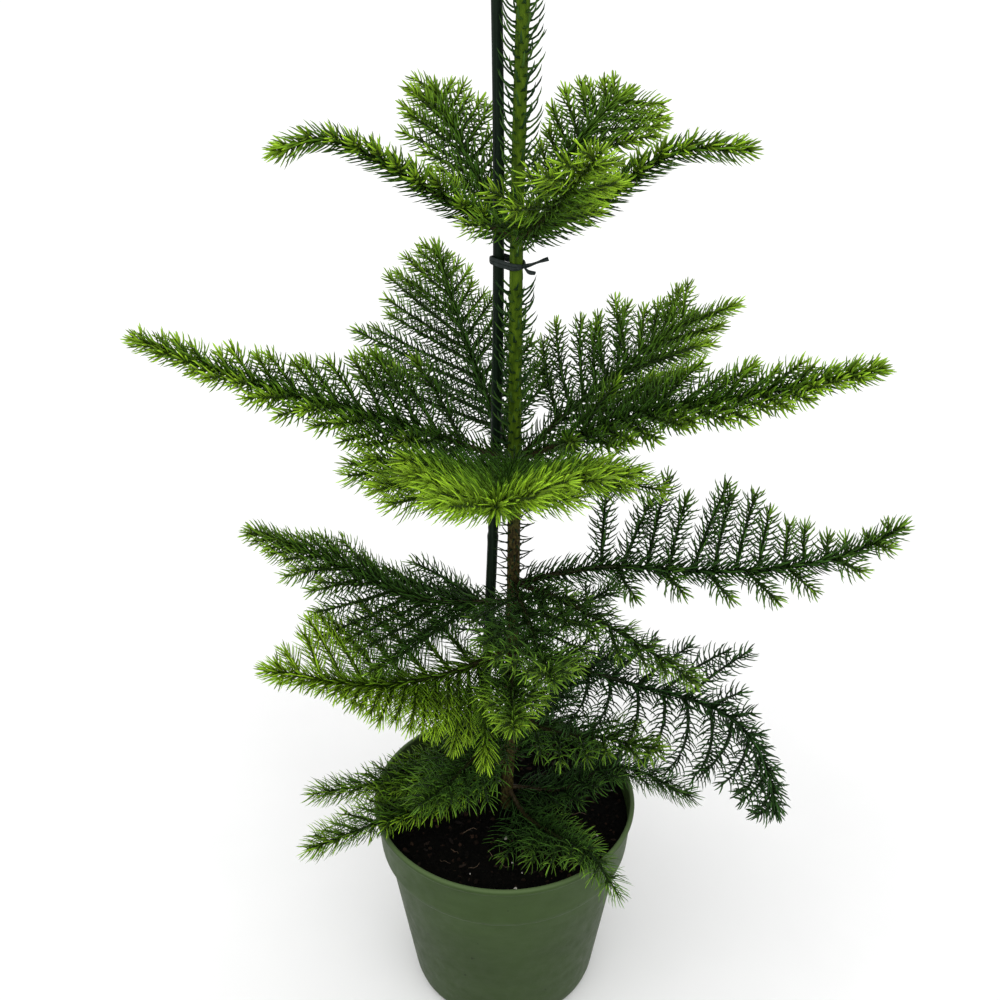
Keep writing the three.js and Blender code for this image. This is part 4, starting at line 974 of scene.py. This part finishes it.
def tie():
    """The soft tie: two turns round the cane and the trunk, twisted in front, with two free ends."""
    sculpt = Sculpt()
    trunk_spot, cane_spot = trunk_at(TIE_HEIGHT), stake_at(TIE_HEIGHT)
    heading = math.atan2(*(trunk_spot - cane_spot)[1::-1])
    for lift, phase in ((0.9, 0.0), (-0.9, 0.25)):
        spots = []
        for angle in np.linspace(-90, 90, 9):
            a = heading + math.radians(angle)
            spots.append(trunk_spot + TIE_RADIUS * np.array([math.cos(a), math.sin(a), 0]))
        for angle in np.linspace(90, 270, 9):
            a = heading + math.radians(angle)
            spots.append(cane_spot + TIE_RADIUS * np.array([math.cos(a), math.sin(a), 0]))
        spots.append(spots[0])
        spots = np.asarray(spots)
        wave = np.linspace(0, 2 * math.pi, len(spots)) + phase
        spots[:, 2] += lift * np.cos(wave)
        strip(sculpt, Path.through(spots, 4), 2.0, 1.0, 0.0, 90)
    knot = trunk_spot + np.array([3.4, -2.9, 0.3])
    end = knot + np.array([(0, 0, 0), (3, -2, 1.5), (7.5, -3, 3.5), (11, -2.5, 4.5)])
    path = Path.through(end)
    strip(sculpt, path, 2.2, 1.2, np.linspace(0, 2.4, 24), 24)
    stub = knot + np.array([(0, 0, 0), (2, -3, -1.5), (5, -5, -1.5)])
    strip(sculpt, Path.through(stub), 2.0, 1.1, np.linspace(1, -1, 18), 18)
    made = sculpt.made("tie_strip", material("tie_plastic", tie_look), facts=())
    finished(made, "tie", "tie_upper")


# Setting

def camera():
    data = bpy.data.cameras.new("camera")
    data.sensor_width = 36
    data.lens = CAMERA_LENS
    data.clip_start, data.clip_end = 0.05, 30
    made = bpy.data.objects.new("camera", data)
    made.location = CAMERA_PLACE
    made.rotation_euler = (math.radians(90 - CAMERA_TILT), 0, 0)
    bpy.context.scene.collection.objects.link(made)
    bpy.context.scene.camera = made


def sun(name, elevation, azimuth, strength, width):
    """Soft light from far away. azimuth is where it comes from, from +X towards +Y, in degrees."""
    data = bpy.data.lights.new(name, "SUN")
    data.energy = strength
    data.angle = math.radians(width)
    made = bpy.data.objects.new(name, data)
    made.rotation_euler = (math.radians(90 - elevation), 0, math.radians(azimuth + 90))
    bpy.context.scene.collection.objects.link(made)


def studio():
    def floor_look(tree, shader):
        base = ramp(tree, [(0.4, grey(0.90)), (0.6, grey(0.93))], noise(tree, 3))
        surface(tree, shader, base, 0.9)

    sculpt = Sculpt()
    corners = [(-9000, -9000, 0), (9000, -9000, 0), (9000, 12000, 0), (-9000, 12000, 0)]
    sculpt.add(corners, [(0, 1, 2), (0, 2, 3)])
    sculpt.made("floor", material("floor_paper", floor_look), smooth=False, facts=())
    world = bpy.data.worlds.new("world")
    world.use_nodes = True
    world.node_tree.nodes["Background"].inputs["Color"].default_value = (1, 1, 1, 1)
    world.node_tree.nodes["Background"].inputs["Strength"].default_value = WORLD_STRENGTH
    bpy.context.scene.world = world
    bpy.context.scene.view_settings.view_transform = "Standard"
    sun("key", 64, -112, SUN_STRENGTH, 60)
    sun("fill", 22, -70, SUN_STRENGTH, 80)


camera()
studio()
pot()
soil()
lumps("soil_crumbs", crumb_look, 1300, (0.5, 1.7), (1, 0.8, 0.7), 0.2, 31)
lumps("soil_bark", chip_look, 110, (1.0, 3.0), (1, 0.42, 0.22), 0.5, 37)
lumps("soil_perlite", perlite_look, 16, (0.4, 1.1), (1, 0.9, 0.8), 0.6, 41)
fibres()
stake()
trunk()
tie()
foliage = material("needle_green", needle_look)
for whorl, height, branches in WHORLS:
    for said in branches:
        branch = {**PLAIN, **said}
        name = f"spray_{whorl}_{branch['name']}"
        made = spray(name, height, branch).made(f"leafy_{whorl}_{branch['name']}", foliage)
        finished(made, "foliage", name)
